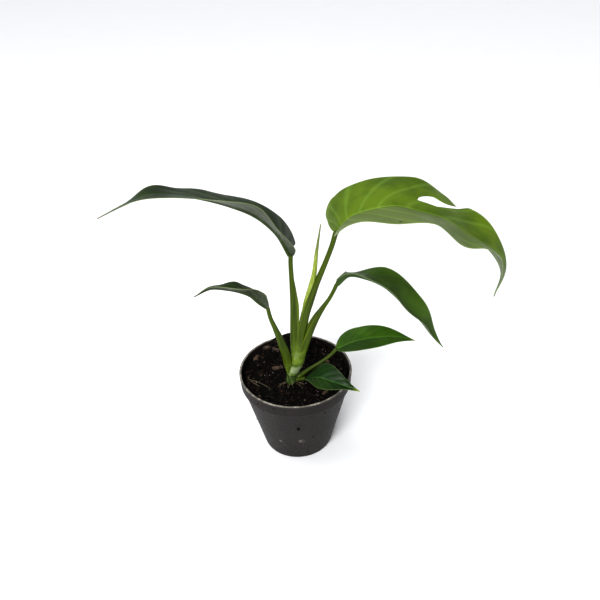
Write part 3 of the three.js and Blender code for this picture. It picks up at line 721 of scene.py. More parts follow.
# %% Root finish
def make_root_finish():
    """Living aroid root: firm, pale tan, with faint rings."""
    made, tree, place = new_finish("living_root")
    rings = add(tree, "TexNoise", {0: place, "Scale": scale_of(1.8), "Detail": 4})
    colour = paint(tree, "#9a7b4e", ("#cdb488", (rings, 0.3, 0.7, 0, 1)))
    dress(tree, colour, (rings, 0.3, 0.7, 0.6, 0.8), rings, 0.1)
    return made


root_node = frame["nodes"]["roots"]
root_node.material_slots[0].material = make_root_finish()
print("roots:", len(root_node.data.polygons), "faces of the CAD solid")

# %% [markdown]
# ## Stem and stalks
#
# The stem is a short green cane with two swollen nodes. Each leaf stalk is a tube whose lower half
# carries a sheath: two thin edges with a groove between them, which once wrapped the next leaf. A ring
# of points is carried along the stalk's curve, and two narrow bells added to its radius raise the edges.

# %% A tube with rounded ends
CAP = np.linspace(np.pi / 2, 0, 6)[:-1]


def tube(path, rings, sides, shape=None):
    """A ring carried along a curve: centre + r(cos a back + sin a left), where back is +Y made square
    to the curve and left is the curve's direction crossed with it. Each end closes with a dome, whose
    rings shrink as the cosine and step out as the sine. shape(angle, share) adds to the radius."""
    share = np.concatenate([0 * CAP, np.linspace(0, 1, rings), 0 * CAP + 1])
    push = np.concatenate([-np.sin(CAP), np.zeros(rings), np.sin(CAP[::-1])])
    size = np.concatenate([np.cos(CAP), np.ones(rings), np.cos(CAP[::-1])])
    row = spline(path, share)
    step = 1e-4
    run = spline(path, np.clip(share + step, 0, 1)) - spline(path, np.clip(share - step, 0, 1))
    run = run[:, :3] / np.linalg.norm(run[:, :3], axis=1, keepdims=True)
    back = np.array([0, 1.0, 0]) - run[:, 1:2] * run
    back /= np.linalg.norm(back, axis=1, keepdims=True)
    left = np.cross(run, back)
    angle = np.linspace(0, 2 * np.pi, sides, endpoint=False)
    radius = row[:, 3:4] + 0 * angle
    if shape:
        radius = radius + shape(angle[None], share[:, None])
    centre = row[:, :3] + (push * row[:, 3])[:, None] * run
    ring = back[:, None] * np.cos(angle)[None, :, None] + left[:, None] * np.sin(angle)[None, :, None]
    points = centre[:, None] + ring * (radius * size[:, None])[..., None]
    marks = np.stack([share[:, None] + 0 * angle, 0 * share[:, None] + angle / (2 * np.pi),
                      radius - row[:, 3:4]], -1)
    return points.reshape(-1, 3), quads(len(share), sides, wrap=True), marks.reshape(-1, 3)


straight = tube([[0, 0, 0, 1], [0, 0, 5, 1]], 4, 8)[0]
print("a tube 5 long with domes of radius 1 reaches", np.ptp(straight[:, 2]).round(2))

# %% Stem finish
STEM_FOOT = "#3e5522"
# Height where each colour begins and is full, from the soil up. The dark green from 55.5 mm is painted
# shade: the top of the internode under the upper node.
STEM_BANDS = [
    [49.4, 49.8, "#28380f"], [50.1, 50.8, "#566d2e"], [51, 53, "#87946f"], [55.5, 57, "#4a6114"],
    [57.5, 59, "#66791f"], [60.5, 63, "#66793a"], [65, 68, "#4a5c05"],
]


def make_stem_finish():
    """Young aroid stem: waxy, green, with a whitish bloom between its nodes, a dark ring at the lower
    node and a band of painted shade under the upper node, where the leaf sheaths sit.
    """
    made, tree, place = new_finish("waxy_stem")
    height = add(tree, "SeparateXYZ", {0: place}, 2)
    upright = add(tree, "Mapping", {0: place, 3: (1, 1, 0.35)})
    bloom = add(tree, "TexNoise", {0: upright, "Scale": scale_of(1.6), "Detail": 4})
    bands = [(code, (height, low * MM, high * MM, 0, 1)) for low, high, code in STEM_BANDS]
    colour = paint(tree, STEM_FOOT, *bands, ("#a9b886", (bloom, 0.48, 0.75, 0, 0.4)))
    dress(tree, colour, (bloom, 0.3, 0.7, 0.36, 0.5), bloom, 0.05, Specular_IOR_Level=0.3)
    return made


stem_finish = make_stem_finish()
print("stem:", len(stem_finish.node_tree.nodes), "nodes")

# %% Stem shape
STEM_PATH = [
    [-2.4, -5.9, 24, 2.9], [-2.4, -5.9, 35, 3], [-2.2, -5.9, 44.5, 2.95], [-1.6, -5.9, 50, 3.05],
    [-1, -5.8, 52.2, 3.25], [-0.1, -5.6, 54.7, 3.45], [0.8, -5.5, 57, 3.55], [1.2, -5.4, 58.9, 3.5],
    [1.6, -5.3, 61.2, 3.1], [2, -5.2, 64.1, 2.4], [2.4, -5, 67.4, 1.7], [2.8, -4.8, 70, 1.2],
]


def node_rings(angle, share):
    """Two rings: bells of share. The upper one is a scar that climbs on the left, as a sine of angle."""
    lower = 0.16 * np.exp(-(((share - 0.283) / 0.01) ** 2))
    upper = 0.2 * np.exp(-(((share - 0.55 - 0.05 * np.sin(angle)) / 0.012) ** 2))
    return lower + upper


stem_points, stem_faces, _ = tube(STEM_PATH, 160, 72, node_rings)
add_piece("stem_cane", stem_points, stem_faces, [stem_finish], ["stem"])

# %% Stalk finish
def make_stalk_finish():
    """Leaf stalk: smooth, waxy and streaked along its length. The thin sheath edges are paler, and the
    foot wears a whitish bloom. The mesh carries share along, share around and height of the sheath."""
    made, tree, place = new_finish("waxy_stalk")
    stalk = add(tree, "Attribute", {}, "Vector", attribute_name="stalk")
    share, around, flange = [add(tree, "SeparateXYZ", {0: stalk}, k) for k in range(3)]
    wide = add(tree, "Math", {0: around, 1: 9}, operation="MULTIPLY")
    long_way = add(tree, "CombineXYZ", {0: share, 1: wide})
    streak = add(tree, "TexNoise", {0: long_way, "Scale": 3, "Detail": 3})
    bloom = add(tree, "TexNoise", {0: place, "Scale": scale_of(2.2), "Detail": 3})
    colour = paint(
        tree, "#314001",
        ("#4a5c05", (streak, 0.3, 0.7, 0, 1)),
        ("#6b8030", (share, 0.06, 0.24, 1, 0), (bloom, 0.35, 0.65, 0.45, 1)),
        ("#5f6f18", (flange, 0.3, 1.3, 0, 0.85)),
    )
    dress(tree, colour, (streak, 0.3, 0.7, 0.34, 0.46), streak, 0.05, Specular_IOR_Level=0.22)
    return made


stalk_finish = make_stalk_finish()
print("stalk:", len(stalk_finish.node_tree.nodes), "nodes")

# %% Stalk shapes
STALKS = {
    "upper_left": {
        "path": [[-0.2, -5.2, 60, 2], [-0.1, -4.9, 66, 1.9], [-0.1, -4.6, 76, 1.67],
                 [0.1, -4.1, 83, 1.6], [0.3, -3.4, 90, 1.5], [0.3, -2.6, 98, 1.33],
                 [0.1, -1.2, 107, 1.15], [0, 0.2, 114, 1.08], [0.2, 1.2, 117.4, 1.1]],
        "facing": 270, "edge": [1, 1.2, 1.4, 1.6, 1.7, 0.9, 0, 0, 0],
    },
    "upper_right": {
        "path": [[2, -5.6, 58, 2.9], [3.1, -5.5, 63.1, 2.75], [4, -4.9, 69.3, 2.2],
                 [4.9, -4.3, 76.5, 1.8], [6.9, -3.7, 86.4, 1.66], [8.7, -3.3, 92.4, 1.67],
                 [10.1, -2.9, 97, 1.66], [12, -2.4, 102.8, 1.58], [14.5, -1.8, 108.8, 1.37],
                 [17.2, -1.1, 115.5, 1.22], [20, -0.4, 123.2, 1.2], [21.6, 0.2, 128.9, 1.25]],
        "facing": 90, "edge": [0.2, 0.6, 1, 1.2, 1.2, 1.1, 0.6, 0.2, 0, 0, 0, 0],
    },
    "mid_right": {
        "path": [[3.2, -6.2, 59.4, 1.4], [4.3, -6.3, 63.4, 1.65], [5.7, -6.2, 68.5, 1.75],
                 [7.3, -5.6, 73.1, 1.68], [9.6, -4.4, 78.4, 1.5], [12, -2.9, 82.8, 1.3],
                 [15.2, -1.1, 87.6, 1.05], [18.3, 0.2, 91.9, 0.96], [20.6, 1, 96, 0.94],
                 [22.1, 1.5, 99.3, 1]],
        "facing": 110, "edge": [0.3, 0.6, 1, 1.4, 1.5, 1.2, 0.5, 0, 0, 0],
    },
    "lower_left": {
        "path": [[-3.3, -7, 51.5, 1.2], [-4, -7.4, 58, 1.9], [-5, -7.6, 64.9, 1.9],
                 [-6.3, -7.9, 70.4, 1.75], [-7.7, -8.2, 76.4, 1.5], [-9.3, -8.6, 82.4, 1.24],
                 [-11, -9, 88.3, 1.03], [-12, -8.8, 94.2, 0.98]],
        "facing": 270, "edge": [0.3, 0.5, 0.7, 0.6, 0.3, 0, 0, 0],
    },
    "small_right": {
        "path": [[0.2, -6, 47, 1.3], [2, -5.7, 47.8, 1.3], [4.2, -4.9, 48.8, 1.15],
                 [8, -3.4, 50.7, 0.95], [14, -1.6, 53.5, 0.85], [18.6, 0, 56.1, 0.85],
                 [21.6, 1, 59, 0.9]],
        "facing": 0, "edge": [0.3, 0.4, 0.3, 0.1, 0, 0, 0],
    },
    "front_right": {
        "path": [[0.2, -6.9, 46.6, 1.1], [1.6, -7.4, 46.9, 1], [3, -7.8, 47.3, 0.95],
                 [4.4, -8.1, 47.9, 0.9]],
        "facing": 0, "edge": [0.2, 0.1, 0, 0],
    },
}
SHEATH_SPREAD = 0.4    # radians from the groove to each edge of a sheath
SHEATH_WIDTH = 0.24
GROOVE_DEPTH = 0.3
GROOVE_SPREAD = 0.3


def sheath(facing, edge):
    """Two thin edges and the groove between them: bells of the angle on both sides of where the sheath
    faces, as high as the table says at that share of the stalk, less a shallow bell in the middle."""
    def shape(angle, share):
        away = (angle - math.radians(facing) + np.pi) % (2 * np.pi) - np.pi
        high = np.maximum(table(edge, share[:, 0]), 0)[:, None]
        lips = sum(np.exp(-(((away + s * SHEATH_SPREAD) / SHEATH_WIDTH) ** 2)) for s in (-1, 1))
        groove = GROOVE_DEPTH * np.exp(-((away / GROOVE_SPREAD) ** 2)) * np.minimum(high, 1)
        return high * lips - groove
    return shape


for name, stalk in STALKS.items():
    points, faces, marks = tube(stalk["path"], 150, 64, sheath(stalk["facing"], stalk["edge"]))
    add_piece(f"leaf_stalk_{name}", points, faces, [stalk_finish], [f"stalk_{name}"],
              {"stalk": marks})

# %% [markdown]
# ## The rolled new leaf
#
# The next leaf stands as a spear beside the stalk that it came from. It is one blade rolled up, so its
# section is a spiral: the radius grows with the angle and drops back at the seam, which runs up the
# spear as a fine line.

# %% Rolled leaf finish
def make_spear_finish():
    """A leaf that hasn't met the light yet: pale, soft yellow-green, darker towards its tip."""
    made, tree, place = new_finish("rolled_young_leaf")
    stalk = add(tree, "Attribute", {}, "Vector", attribute_name="stalk")
    share, around = [add(tree, "SeparateXYZ", {0: stalk}, k) for k in range(2)]
    long_way = add(tree, "Mapping", {0: place, 3: (1, 1, 0.12)})
    streak = add(tree, "TexNoise", {0: long_way, "Scale": scale_of(0.9), "Detail": 3})
    colour = paint(
        tree, "#74852c",
        ("#94a04c", (streak, 0.35, 0.65, 0, 1)),
        ("#66743a", (share, 0.66, 0.9, 0, 1)),
        ("#55642a", (around, 0.93, 1, 0, 0.7)),
    )
    dress(tree, colour, (streak, 0.3, 0.7, 0.38, 0.5), streak, 0.04, Specular_IOR_Level=0.3)
    return made


spear_finish = make_spear_finish()
print("rolled leaf:", len(spear_finish.node_tree.nodes), "nodes")

# %% Rolled leaf shape
SPEAR_PATH = [
    [4.6, -3.8, 84, 0.8], [6.3, -3.2, 92.4, 1.05], [7.7, -2.8, 96.9, 1.2], [9.4, -2.4, 102.4, 1.26],
    [10.9, -1.9, 107.8, 1.24], [11.7, -1.2, 113, 1.05], [12.3, -0.5, 118.1, 0.9],
    [13.1, 0.2, 123.2, 0.64], [14.8, 1.6, 133.3, 0.23],
]


def spiral(angle, share):
    """The radius of a rolled sheet: about a fifth less at the seam, rising to a seventh more."""
    size = table([row[3] for row in SPEAR_PATH], share[:, 0])[:, None]
    return size * 0.36 * (angle / (2 * np.pi) - 0.6)


spear_points, spear_faces, spear_marks = tube(SPEAR_PATH, 150, 56, spiral)
add_piece("rolled_leaf", spear_points, spear_faces, [spear_finish], ["new_leaf"],
          {"stalk": spear_marks}, crease=40)

# %% [markdown]
# ## The leaves
#
# A leaf is drawn flat first and then bent. Flat, each half is a fan of veins: a vein leaves the midrib
# at its start and ends on the margin, and the two are joined by a curve that sweeps forwards. That
# gives a grid, whose rows are veins and whose columns run from the midrib to the margin, so everything
# that follows the veins is one of the grid's own lines. The grid is then laid along the midrib, a curve
# in space, rolled and folded by tables of angles, and waved at its margin.

# %% Two outlines
# Each row of an outline: where the vein starts, then the margin's distance along and out, as shares.
HEART = [
    [0, 0, 0], [0.01, -0.06, 0.2], [0.03, -0.09, 0.48], [0.07, -0.05, 0.8], [0.14, 0.07, 0.98],
    [0.24, 0.22, 1], [0.36, 0.38, 0.97], [0.48, 0.52, 0.88], [0.6, 0.66, 0.69], [0.72, 0.78, 0.44],
    [0.84, 0.89, 0.2], [0.93, 0.96, 0.06], [1, 1, 0],
]
LANCE = [
    [0, 0, 0], [0.01, 0, 0.12], [0.03, 0.02, 0.32], [0.07, 0.06, 0.58], [0.14, 0.14, 0.84],
    [0.24, 0.26, 0.99], [0.36, 0.39, 0.99], [0.48, 0.52, 0.86], [0.6, 0.65, 0.66], [0.72, 0.77, 0.42],
    [0.84, 0.88, 0.2], [0.93, 0.955, 0.07], [1, 1, 0],
]
print("outlines of", len(HEART), "and", len(LANCE), "rows")

# %% The six blades
# azimuth is the way that the leaf points, lobe how far it reaches back, and rows and columns the grid.
# Tables of roll, width and fold run from base to tip. A wave is its height, count and phase.
BLADES = {
    "upper_left": {
        "azimuth": 172, "lobe": 0, "rows": 190, "columns": 34,
        "roll": [14, 14, 24, 22, 23, 18, 10, 14, 8],
        "midrib": [[0.2, 1.2, 117.4], [-5.7, 2.6, 129.1], [-15.2, 4.7, 137.7], [-27, 6, 143],
                   [-39.5, 8, 146.1], [-52, 10, 147.7], [-65.5, 11.5, 147.1], [-79, 13, 141.4],
                   [-92.3, 14.9, 134.2]],
        "left": {"outline": LANCE, "wave": [0.66, 2.93, 0.3],
                 "width": [19.2, 18.8, 18.5, 18.5, 18.4, 18.4, 18.5, 18.5, 18.5],
                 "fold": [35, 19, 17, 10, 4, 0, 3, 4, 4]},
        "right": {"outline": HEART, "wave": [1.11, 3.4, 0.41],
                 "width": [18.5, 18.3, 18.3, 18.5, 18.5, 18.5, 19, 18.7, 18.5],
                 "fold": [15, 12, 11, 11, 7, 5, 15, 4, 4]},
    },
    "upper_right": {
        "azimuth": 2, "lobe": 0.3, "rows": 230, "columns": 40,
        "roll": [-4, -5, -1, 0, 4, 3, 8, 21, 30],
        "midrib": [[21.6, 0.3, 129.3], [24.2, 0.1, 133.5], [28.7, 0.4, 137.7], [36.9, 0.6, 140.5],
                   [49.2, 0.8, 142], [61, 1, 138.7], [72.9, 1.3, 134.1], [84.3, 2.1, 125.9],
                   [96, 2.1, 116.2], [103.7, 2.4, 102.4], [101.8, 2.7, 87.7]],
        "left": {"outline": HEART, "wave": [1.11, 3.55, 0.762],
                 "width": [27.8, 26, 26.7, 27, 26.1, 27.3, 26.8, 26.4, 26.5],
                 "fold": [11, 8, 8, 11, 5, 12, 20, 19, 24]},
        "right": {"outline": LANCE, "wave": [0.77, 2.86, 0.91],
                 "width": [26.1, 27, 26, 25.8, 28.1, 27.5, 26.2, 26.4, 27.4],
                 "fold": [14, 13, 10, 15, 5, 15, 20, 7, 6]},
        "split": {
            "start": 0.306, "opens": 0.39,
            "stalk_side": [[44.7, 10.2], [46.6, 12], [49.8, 13.7], [53.7, 15], [57.1, 14.4],
                           [60.3, 14.4], [64, 15.6], [67.7, 17.5]],
            "tip_side": [[45.5, 6.4], [49.2, 6.3], [54.3, 7.6], [60.8, 10.8], [65.1, 13.5],
                         [69, 16.3], [71.6, 18.7], [74, 20.3]],
            "fade": [0.03, 0.08],
        },
    },
    "lower_left": {
        "azimuth": 195, "lobe": 0, "rows": 130, "columns": 26,
        "roll": [0, 11, 20, 15, 21, 27, 25],
        "midrib": [[-12, -8.7, 94.8], [-15.6, -10.1, 99], [-19.1, -11.2, 103.7], [-22.9, -12.3, 106.6],
                   [-30.2, -13.7, 109.6], [-37.8, -15.2, 111.1], [-45.6, -17.4, 108.3]],
        "left": {"outline": LANCE, "wave": [0.3, 2, 0.1],
                 "width": [8.2, 9.2, 9.9, 9.8, 9.7, 9.6, 9.5],
                 "fold": [16, 23, 26, 20, 16, 22, 26]},
        "right": {"outline": HEART, "wave": [0.4, 2, 0.4],
                 "width": [8.9, 8.6, 8.5, 8.7, 9.1, 9.2, 9.3],
                 "fold": [20, 21, 18, 16, 8, 12, 19]},
    },
    "mid_right": {
        "azimuth": 6, "lobe": 0, "rows": 160, "columns": 30,
        "roll": [-23, -10, 9, 19, 22, 22, 23],
        "midrib": [[22.2, 1.6, 99.9], [28.1, 2.5, 104.5], [37.7, 3.6, 101.5], [46.3, 4.1, 96.1],
                   [53.1, 5, 88.6], [59.9, 5.9, 79.5], [67, 7.1, 71], [73, 8, 61.4],
                   [80.3, 8.9, 51.6]],
        "left": {"outline": HEART, "wave": [0.4, 2.5, 0.2],
                 "width": [13.2, 12.9, 13.4, 13.4, 14, 13.6, 13.3],
                 "fold": [3, -14, 9, 19, 30, 29, 27]},
        "right": {"outline": LANCE, "wave": [0.5, 2.5, 0.6],
                 "width": [11, 10.9, 10.8, 11, 11.1, 11.1, 11.1],
                 "fold": [35, 16, 24, 27, 34, 30, 23]},
    },
    "small_right": {
        "azimuth": 8, "lobe": 1, "rows": 120, "columns": 26,
        "roll": [3, 7, 9, 12, 13, 15, 17],
        "midrib": [[21.8, 1.1, 59.3], [31.4, 2.3, 63], [42, 3.5, 64.1], [53, 4.7, 63.3],
                   [64.1, 6, 59.4]],
        "left": {"outline": LANCE, "wave": [0.2, 2, 0],
                 "width": [8.9, 8.5, 8.3, 8.5, 8.7, 8.5, 8.6],
                 "fold": [12, 11, 10, 13, 14, 11, 11]},
        "right": {"outline": LANCE, "wave": [0.3, 2, 0.5],
                 "width": [8.4, 8.5, 8.5, 8.4, 8.4, 8.5, 8.7],
                 "fold": [20, 15, 10, 10, 10, 7, 5]},
    },
    "front_right": {
        "azimuth": -20, "lobe": 1, "rows": 110, "columns": 26,
        "roll": [-7, 5, 21, 24, 20, 13, 16],
        "midrib": [[4.8, -8.3, 48.1], [12, -11.4, 50.9], [18.9, -15.2, 51], [25.5, -18.9, 50.8],
                   [32.4, -21.8, 49.8]],
        "left": {"outline": LANCE, "wave": [0.2, 2, 0],
                 "width": [7.4, 7.8, 8.4, 8.2, 7.3, 6.9, 7],
                 "fold": [5, 11, 17, 20, 21, 18, 16]},
        "right": {"outline": LANCE, "wave": [0.2, 2, 0.5],
                 "width": [6.8, 7.2, 7.5, 7.3, 7.2, 7, 7.1],
                 "fold": [35, 31, 22, 21, 25, 30, 25]},
    },
}

# %% From the flat leaf to space
MIDRIB_POINTS = 1201


def midrib_of(blade):
    """The midrib as many points, the distance run at each, and its direction there."""
    points = spline(blade["midrib"], np.linspace(0, 1, MIDRIB_POINTS))
    run = np.concatenate([[0], np.cumsum(np.linalg.norm(np.diff(points, axis=0), axis=1))])
    way = np.gradient(points, run, axis=0)
    return points, run, way / np.linalg.norm(way, axis=1, keepdims=True)


def read(run, values, x):
    """A row of values at a distance along the midrib, by straight lines between the dense points."""
    return np.stack([np.interp(x, run, values[:, k]) for k in range(3)], -1)


def lay_in_space(blade, side, x, y, rise, depth):
    """Bends flat points into space.

    At distance x the section's across is level, square to the midrib and turned by roll about it. A
    point y out goes y cos(fold) across and y sin(fold) up. rise lifts it off the sheet, and depth
    goes below the sheet along its own normal. Behind the start a lobe runs straight back.
    """
    half = blade["left" if side > 0 else "right"]
    points, run, way = midrib_of(blade)
    length = run[-1]
    held = np.clip(x, 0, length)
    share = held / length
    tangent = read(run, way, held)
    tangent /= np.linalg.norm(tangent, axis=-1, keepdims=True)
    centre = read(run, points, held) + tangent * (x - held)[..., None]
    azimuth = math.radians(blade["azimuth"])
    level = np.array([-math.sin(azimuth), math.cos(azimuth), 0])
    across = level - (tangent @ level)[..., None] * tangent
    across /= np.linalg.norm(across, axis=-1, keepdims=True)
    upward = np.cross(tangent, across)
    roll = np.radians(table(blade["roll"], share))[..., None]
    across, upward = (np.cos(roll) * across + np.sin(roll) * upward,
                      np.cos(roll) * upward - np.sin(roll) * across)
    fold = np.radians(table(half["fold"], share))
    height, waves, phase = half["wave"]
    calm = np.minimum(1, 6 * share * (1 - share))
    wave = height * calm * (y / max(half["width"])) ** 2 * np.sin(2 * np.pi * (waves * share + phase))
    tilt = fold * smooth_step(y, 0, 1.5)
    out = y * np.cos(fold) + depth * np.sin(tilt)
    lift = y * np.sin(fold) + wave + rise - depth * np.cos(tilt)
    return centre + side * out[..., None] * across + lift[..., None] * upward


for name, blade in BLADES.items():
    print(name, "midrib", round(float(midrib_of(blade)[1][-1]), 1), "mm")

# %% The fan of veins
VEIN_LEAN = 0.55       # how much earlier than straight across a vein leaves the midrib
VEIN_BEND = 1.5        # above 1, a vein leaves squarely and then sweeps forwards


def margin_of(blade, half, length):
    """The margin as dense rows: vein start, distance along and distance out, in millimetres."""
    rows = np.array(half["outline"], float)
    rows[:, 1] = np.where(rows[:, 1] < 0, rows[:, 1] * blade["lobe"], rows[:, 1])
    dense = spline(rows, np.linspace(0, 1, 3001))
    start = np.maximum.accumulate(dense[:, 0] * (1 - VEIN_LEAN * dense[:, 2]))
    return start, dense[:, 1] * length, dense[:, 2] * table(half["width"], dense[:, 1])


def fan(blade, half, length, starts, shares):
    """Flat grid of a half: each vein runs from the midrib to the margin. Out from the midrib it grows
    evenly, and along it grows as the share to the power VEIN_BEND, so the vein sweeps forwards."""
    start, along, out = margin_of(blade, half, length)
    end_x = np.interp(starts, start, along)[:, None]
    end_y = np.interp(starts, start, out)[:, None]
    first = (starts * length)[:, None]
    return first + (end_x - first) * shares**VEIN_BEND, end_y * shares


def open_split(split, starts, cut, x, y, shares):
    """Draws the two sides of one vein apart. Each side's edge is a curve of its own from the point
    where the split opens, and the veins beside it follow by a bell of how far their starts are."""
    opening = shares >= split["opens"]
    part = (shares[opening] - split["opens"]) / (1 - split["opens"])
    sides = [(split["stalk_side"], slice(0, cut + 1), cut, split["fade"][0]),
             (split["tip_side"], slice(cut + 1, None), cut + 1, split["fade"][1])]
    for edge, rows, own, fade in sides:
        begin = [x[own, opening][0], y[own, opening][0]]
        curve = spline(np.vstack([begin, edge]), np.linspace(0, 1, 400))
        run = np.concatenate([[0], np.cumsum(np.linalg.norm(np.diff(curve, axis=0), axis=1))])
        follow = np.exp(-(((starts[rows] - starts[own]) / fade) ** 2))[:, None]
        dx = np.interp(part, run / run[-1], curve[:, 0]) - x[own, opening]
        dy = np.interp(part, run / run[-1], curve[:, 1]) - y[own, opening]
        x[rows, opening] += follow * dx
        y[rows, opening] += follow * dy
    return opening


sample = BLADES["mid_right"]
reach = fan(sample, sample["left"], 70, np.array([0.2]), np.ones(1))[1]
print("the vein that starts at 0.2 ends", reach.item(), "mm out")

# %% A closed leaf
THICKNESS = 0.42       # of the blade, in millimetres
VEINS = 11             # main side veins in each half
QUILT = 0.1            # how far the blade swells between two veins, in millimetres
MIDRIB_GROOVE = 0.28   # depth of the groove above and height of the ridge below, at the leaf's base
GROOVE_WIDTH = 0.7
MIDRIB_RIDGE = 1.15
RIDGE_WIDTH = 0.95
MIDRIB_TAPER = 0.6     # how soon both fade towards the tip
MARGIN_DROOP = 0.25    # how far the margin turns down
MARGIN_CROWD = 1.4     # above 1, the grid's columns crowd at the midrib


def make_leaf(blade):
    """The upper and under surface of a leaf, with its edge, as one closed mesh.

    The upper sheet swells between veins as the sine of the vein count and sinks in a bell at the
    midrib. The under sheet lies one thickness below it, and swells in a wider bell along the midrib.
    """
    length = midrib_of(blade)[1][-1]
    count, columns = blade["rows"], blade["columns"]
    order = np.linspace(0, 1, count)
    start = margin_of(blade, blade["left"], length)[0]
    starts = start[np.round(order * (len(start) - 1)).astype(int)]
    split = blade.get("split")
    if split:
        cut = int(np.argmin(np.abs(starts - split["start"])))
        starts = np.insert(starts, cut, starts[cut])
        order = np.insert(order, cut, order[cut])
    shares = np.linspace(0, 1, columns + 1) ** MARGIN_CROWD
    phase = VEINS * order[:, None] + 0 * shares
    sheets = {}
    for side in (1, -1):
        half = blade["left" if side > 0 else "right"]
        x, y = fan(blade, half, length, starts, shares)
        if split and side > 0:
            opening = open_split(split, starts, cut, x, y, shares)
        share = np.clip(x / length, 0, 1)
        calm = np.sin(np.pi * shares) ** 0.7 * smooth_step(order, 0.1, 0.25)[:, None]
        calm *= (1 - smooth_step(order, 0.85, 0.98))[:, None]
        swell = QUILT * (2 * np.abs(np.sin(np.pi * phase)) - 1) * calm
        slim = (1 - share) ** MIDRIB_TAPER
        groove = MIDRIB_GROOVE * np.exp(-((y / GROOVE_WIDTH) ** 2)) * slim
        droop = MARGIN_DROOP * shares**8 * smooth_step(order, 0.05, 0.2)[:, None]
        under = THICKNESS + MIDRIB_RIDGE * slim * np.exp(-((y / RIDGE_WIDTH) ** 2))
        upper_sheet = lay_in_space(blade, side, x, y, swell - groove - droop, 0 * y)
        under_sheet = lay_in_space(blade, side, x, y, swell - droop, under * (1 - 0.5 * shares**6))
        marks = np.stack([x / length, side * shares + 0 * x, phase], -1)
        sheets[side] = (upper_sheet, under_sheet, marks, y)
    width = 2 * columns + 1

    def joined(k):
        return np.concatenate([sheets[-1][k][:, :0:-1], sheets[1][k]], axis=1)

    rows = len(starts)
    points = np.vstack([joined(0).reshape(-1, 3), joined(1).reshape(-1, 3)])
    marks = np.tile(joined(2).reshape(-1, 3), (2, 1))
    ribs = np.tile(joined(3).ravel(), 2)
    total = rows * width
    sheet = quads(rows, width)[:, ::-1]
    line = np.arange(rows - 1)
    if split:
        sheet = sheet[(sheet.min(axis=1) // width) != cut]
        line = line[line != cut]
    last = line * width + width - 1
    first = line * width
    edge_left = np.stack([last, last + width, last + width + total, last + total], 1)
    edge_right = np.stack([first + width, first, first + total, first + width + total], 1)
    blocks = [sheet, sheet[:, ::-1] + total, edge_left, edge_right]
    if split:
        j = columns + np.flatnonzero(opening)[:-1]
        back, front = cut * width + j, (cut + 1) * width + j
        blocks.append(np.stack([back + 1, back, back + total, back + 1 + total], 1))
        blocks.append(np.stack([front, front + 1, front + 1 + total, front + total], 1))
    skin_of = np.concatenate([np.full(len(b), k == 1) for k, b in enumerate(blocks)]).astype(int)
    return points, np.vstack(blocks), {"leaf": marks, "rib": ribs}, skin_of


print("one leaf makes", len(make_leaf(BLADES["front_right"])[1]), "faces")

# %% [markdown]
# ## The finish of a leaf
# A living leaf is a waxy skin over green tissue. From above it shows a satin sheen, side veins a little
# paler than the green between them, and finer parallel veins that only the light picks out. Its margin
# is thin and lets light through, so it looks pale. The tip dries to yellow and then brown. From below
# the skin is duller and paler, but the lower left leaf's underside greens are darker than its upper
# ones, as painted shade. Each leaf gets its own greens, because young leaves are lighter, and a painted
# tint on its right half that stands in for that half's sheen and shade. From below
# the skin is duller and paler. Each leaf gets its own greens, because young leaves are lighter.

# %% Leaf finishes
def make_leaf_finish(name, look, deep, fresh):
    """Waxy leaf skin. The mesh carries three numbers: share along, share out, which is below zero on the
    right half, and vein count. A vein count near a whole number is a vein, and seven times the count
    gives the finer veins between."""
    made, tree, place = new_finish(name)
    leaf = add(tree, "Attribute", {}, "Vector", attribute_name="leaf")
    along, side, vein = [add(tree, "SeparateXYZ", {0: leaf}, k) for k in range(3)]
    rib = add(tree, "Attribute", {}, "Fac", attribute_name="rib")
    out = add(tree, "Math", {0: side}, operation="ABSOLUTE")
    to_vein = add(tree, "Math", {0: vein, 1: 0.5}, operation="PINGPONG")
    fine_count = add(tree, "Math", {0: vein, 1: 7}, operation="MULTIPLY")
    fine = add(tree, "Math", {0: fine_count, 1: 0.5}, operation="PINGPONG")
    patch, sheen, cells = [
        add(tree, "TexNoise", {0: place, "Scale": scale_of(size), "Detail": 3}) for size in (16, 6, 0.5)
    ]
    specks = add(tree, "TexVoronoi", {0: place, "Scale": scale_of(5)}, "Distance")
    colour = paint(
        tree, deep,
        (fresh, (patch, 0.35, 0.65, 0, 1)),
        # Painted light: the right half gets a tint that stands in for its sheen and shade, strongest
        # near the base.
        (look["right_painted_light"], (side, -0.15, 0, look["right_painted_light_share"], 0),
         (along, 0.35, 0.65, 1, 0.05)),
        (look["vein"], (to_vein, 0, 0.16, look["veins"], 0)),
        (look["vein"], (rib, 0.2, 0.7, look["rib"], 0)),
        ("#8f9d62", (out, 0.965, 1, 0, look["margin"])),
        ("#2c3a14", (specks, 0.035, 0.06, look["dots"], 0)),
        (look["tip"], (along, look["tip_start"], 1, 0, 0.95)),
    )
    for *spot, size in look["brown"]:
        away = add(tree, "VectorMath", {0: place, 1: np.array(spot) * MM}, "Value", operation="DISTANCE")
        colour = paint(tree, colour, ("#3a2a12", (away, 0.3 * size * MM, size * MM, 0.9, 0)))
    relief = add(tree, "Math", {0: fine, 1: 0.8, 2: cells}, operation="MULTIPLY_ADD")
    rough = (sheen, 0.3, 0.7, look["rough"] - 0.04, look["rough"] + 0.06)
    dress(tree, colour, rough, relief, 0.05, IOR=1.4, Specular_IOR_Level=0.34)
    return made


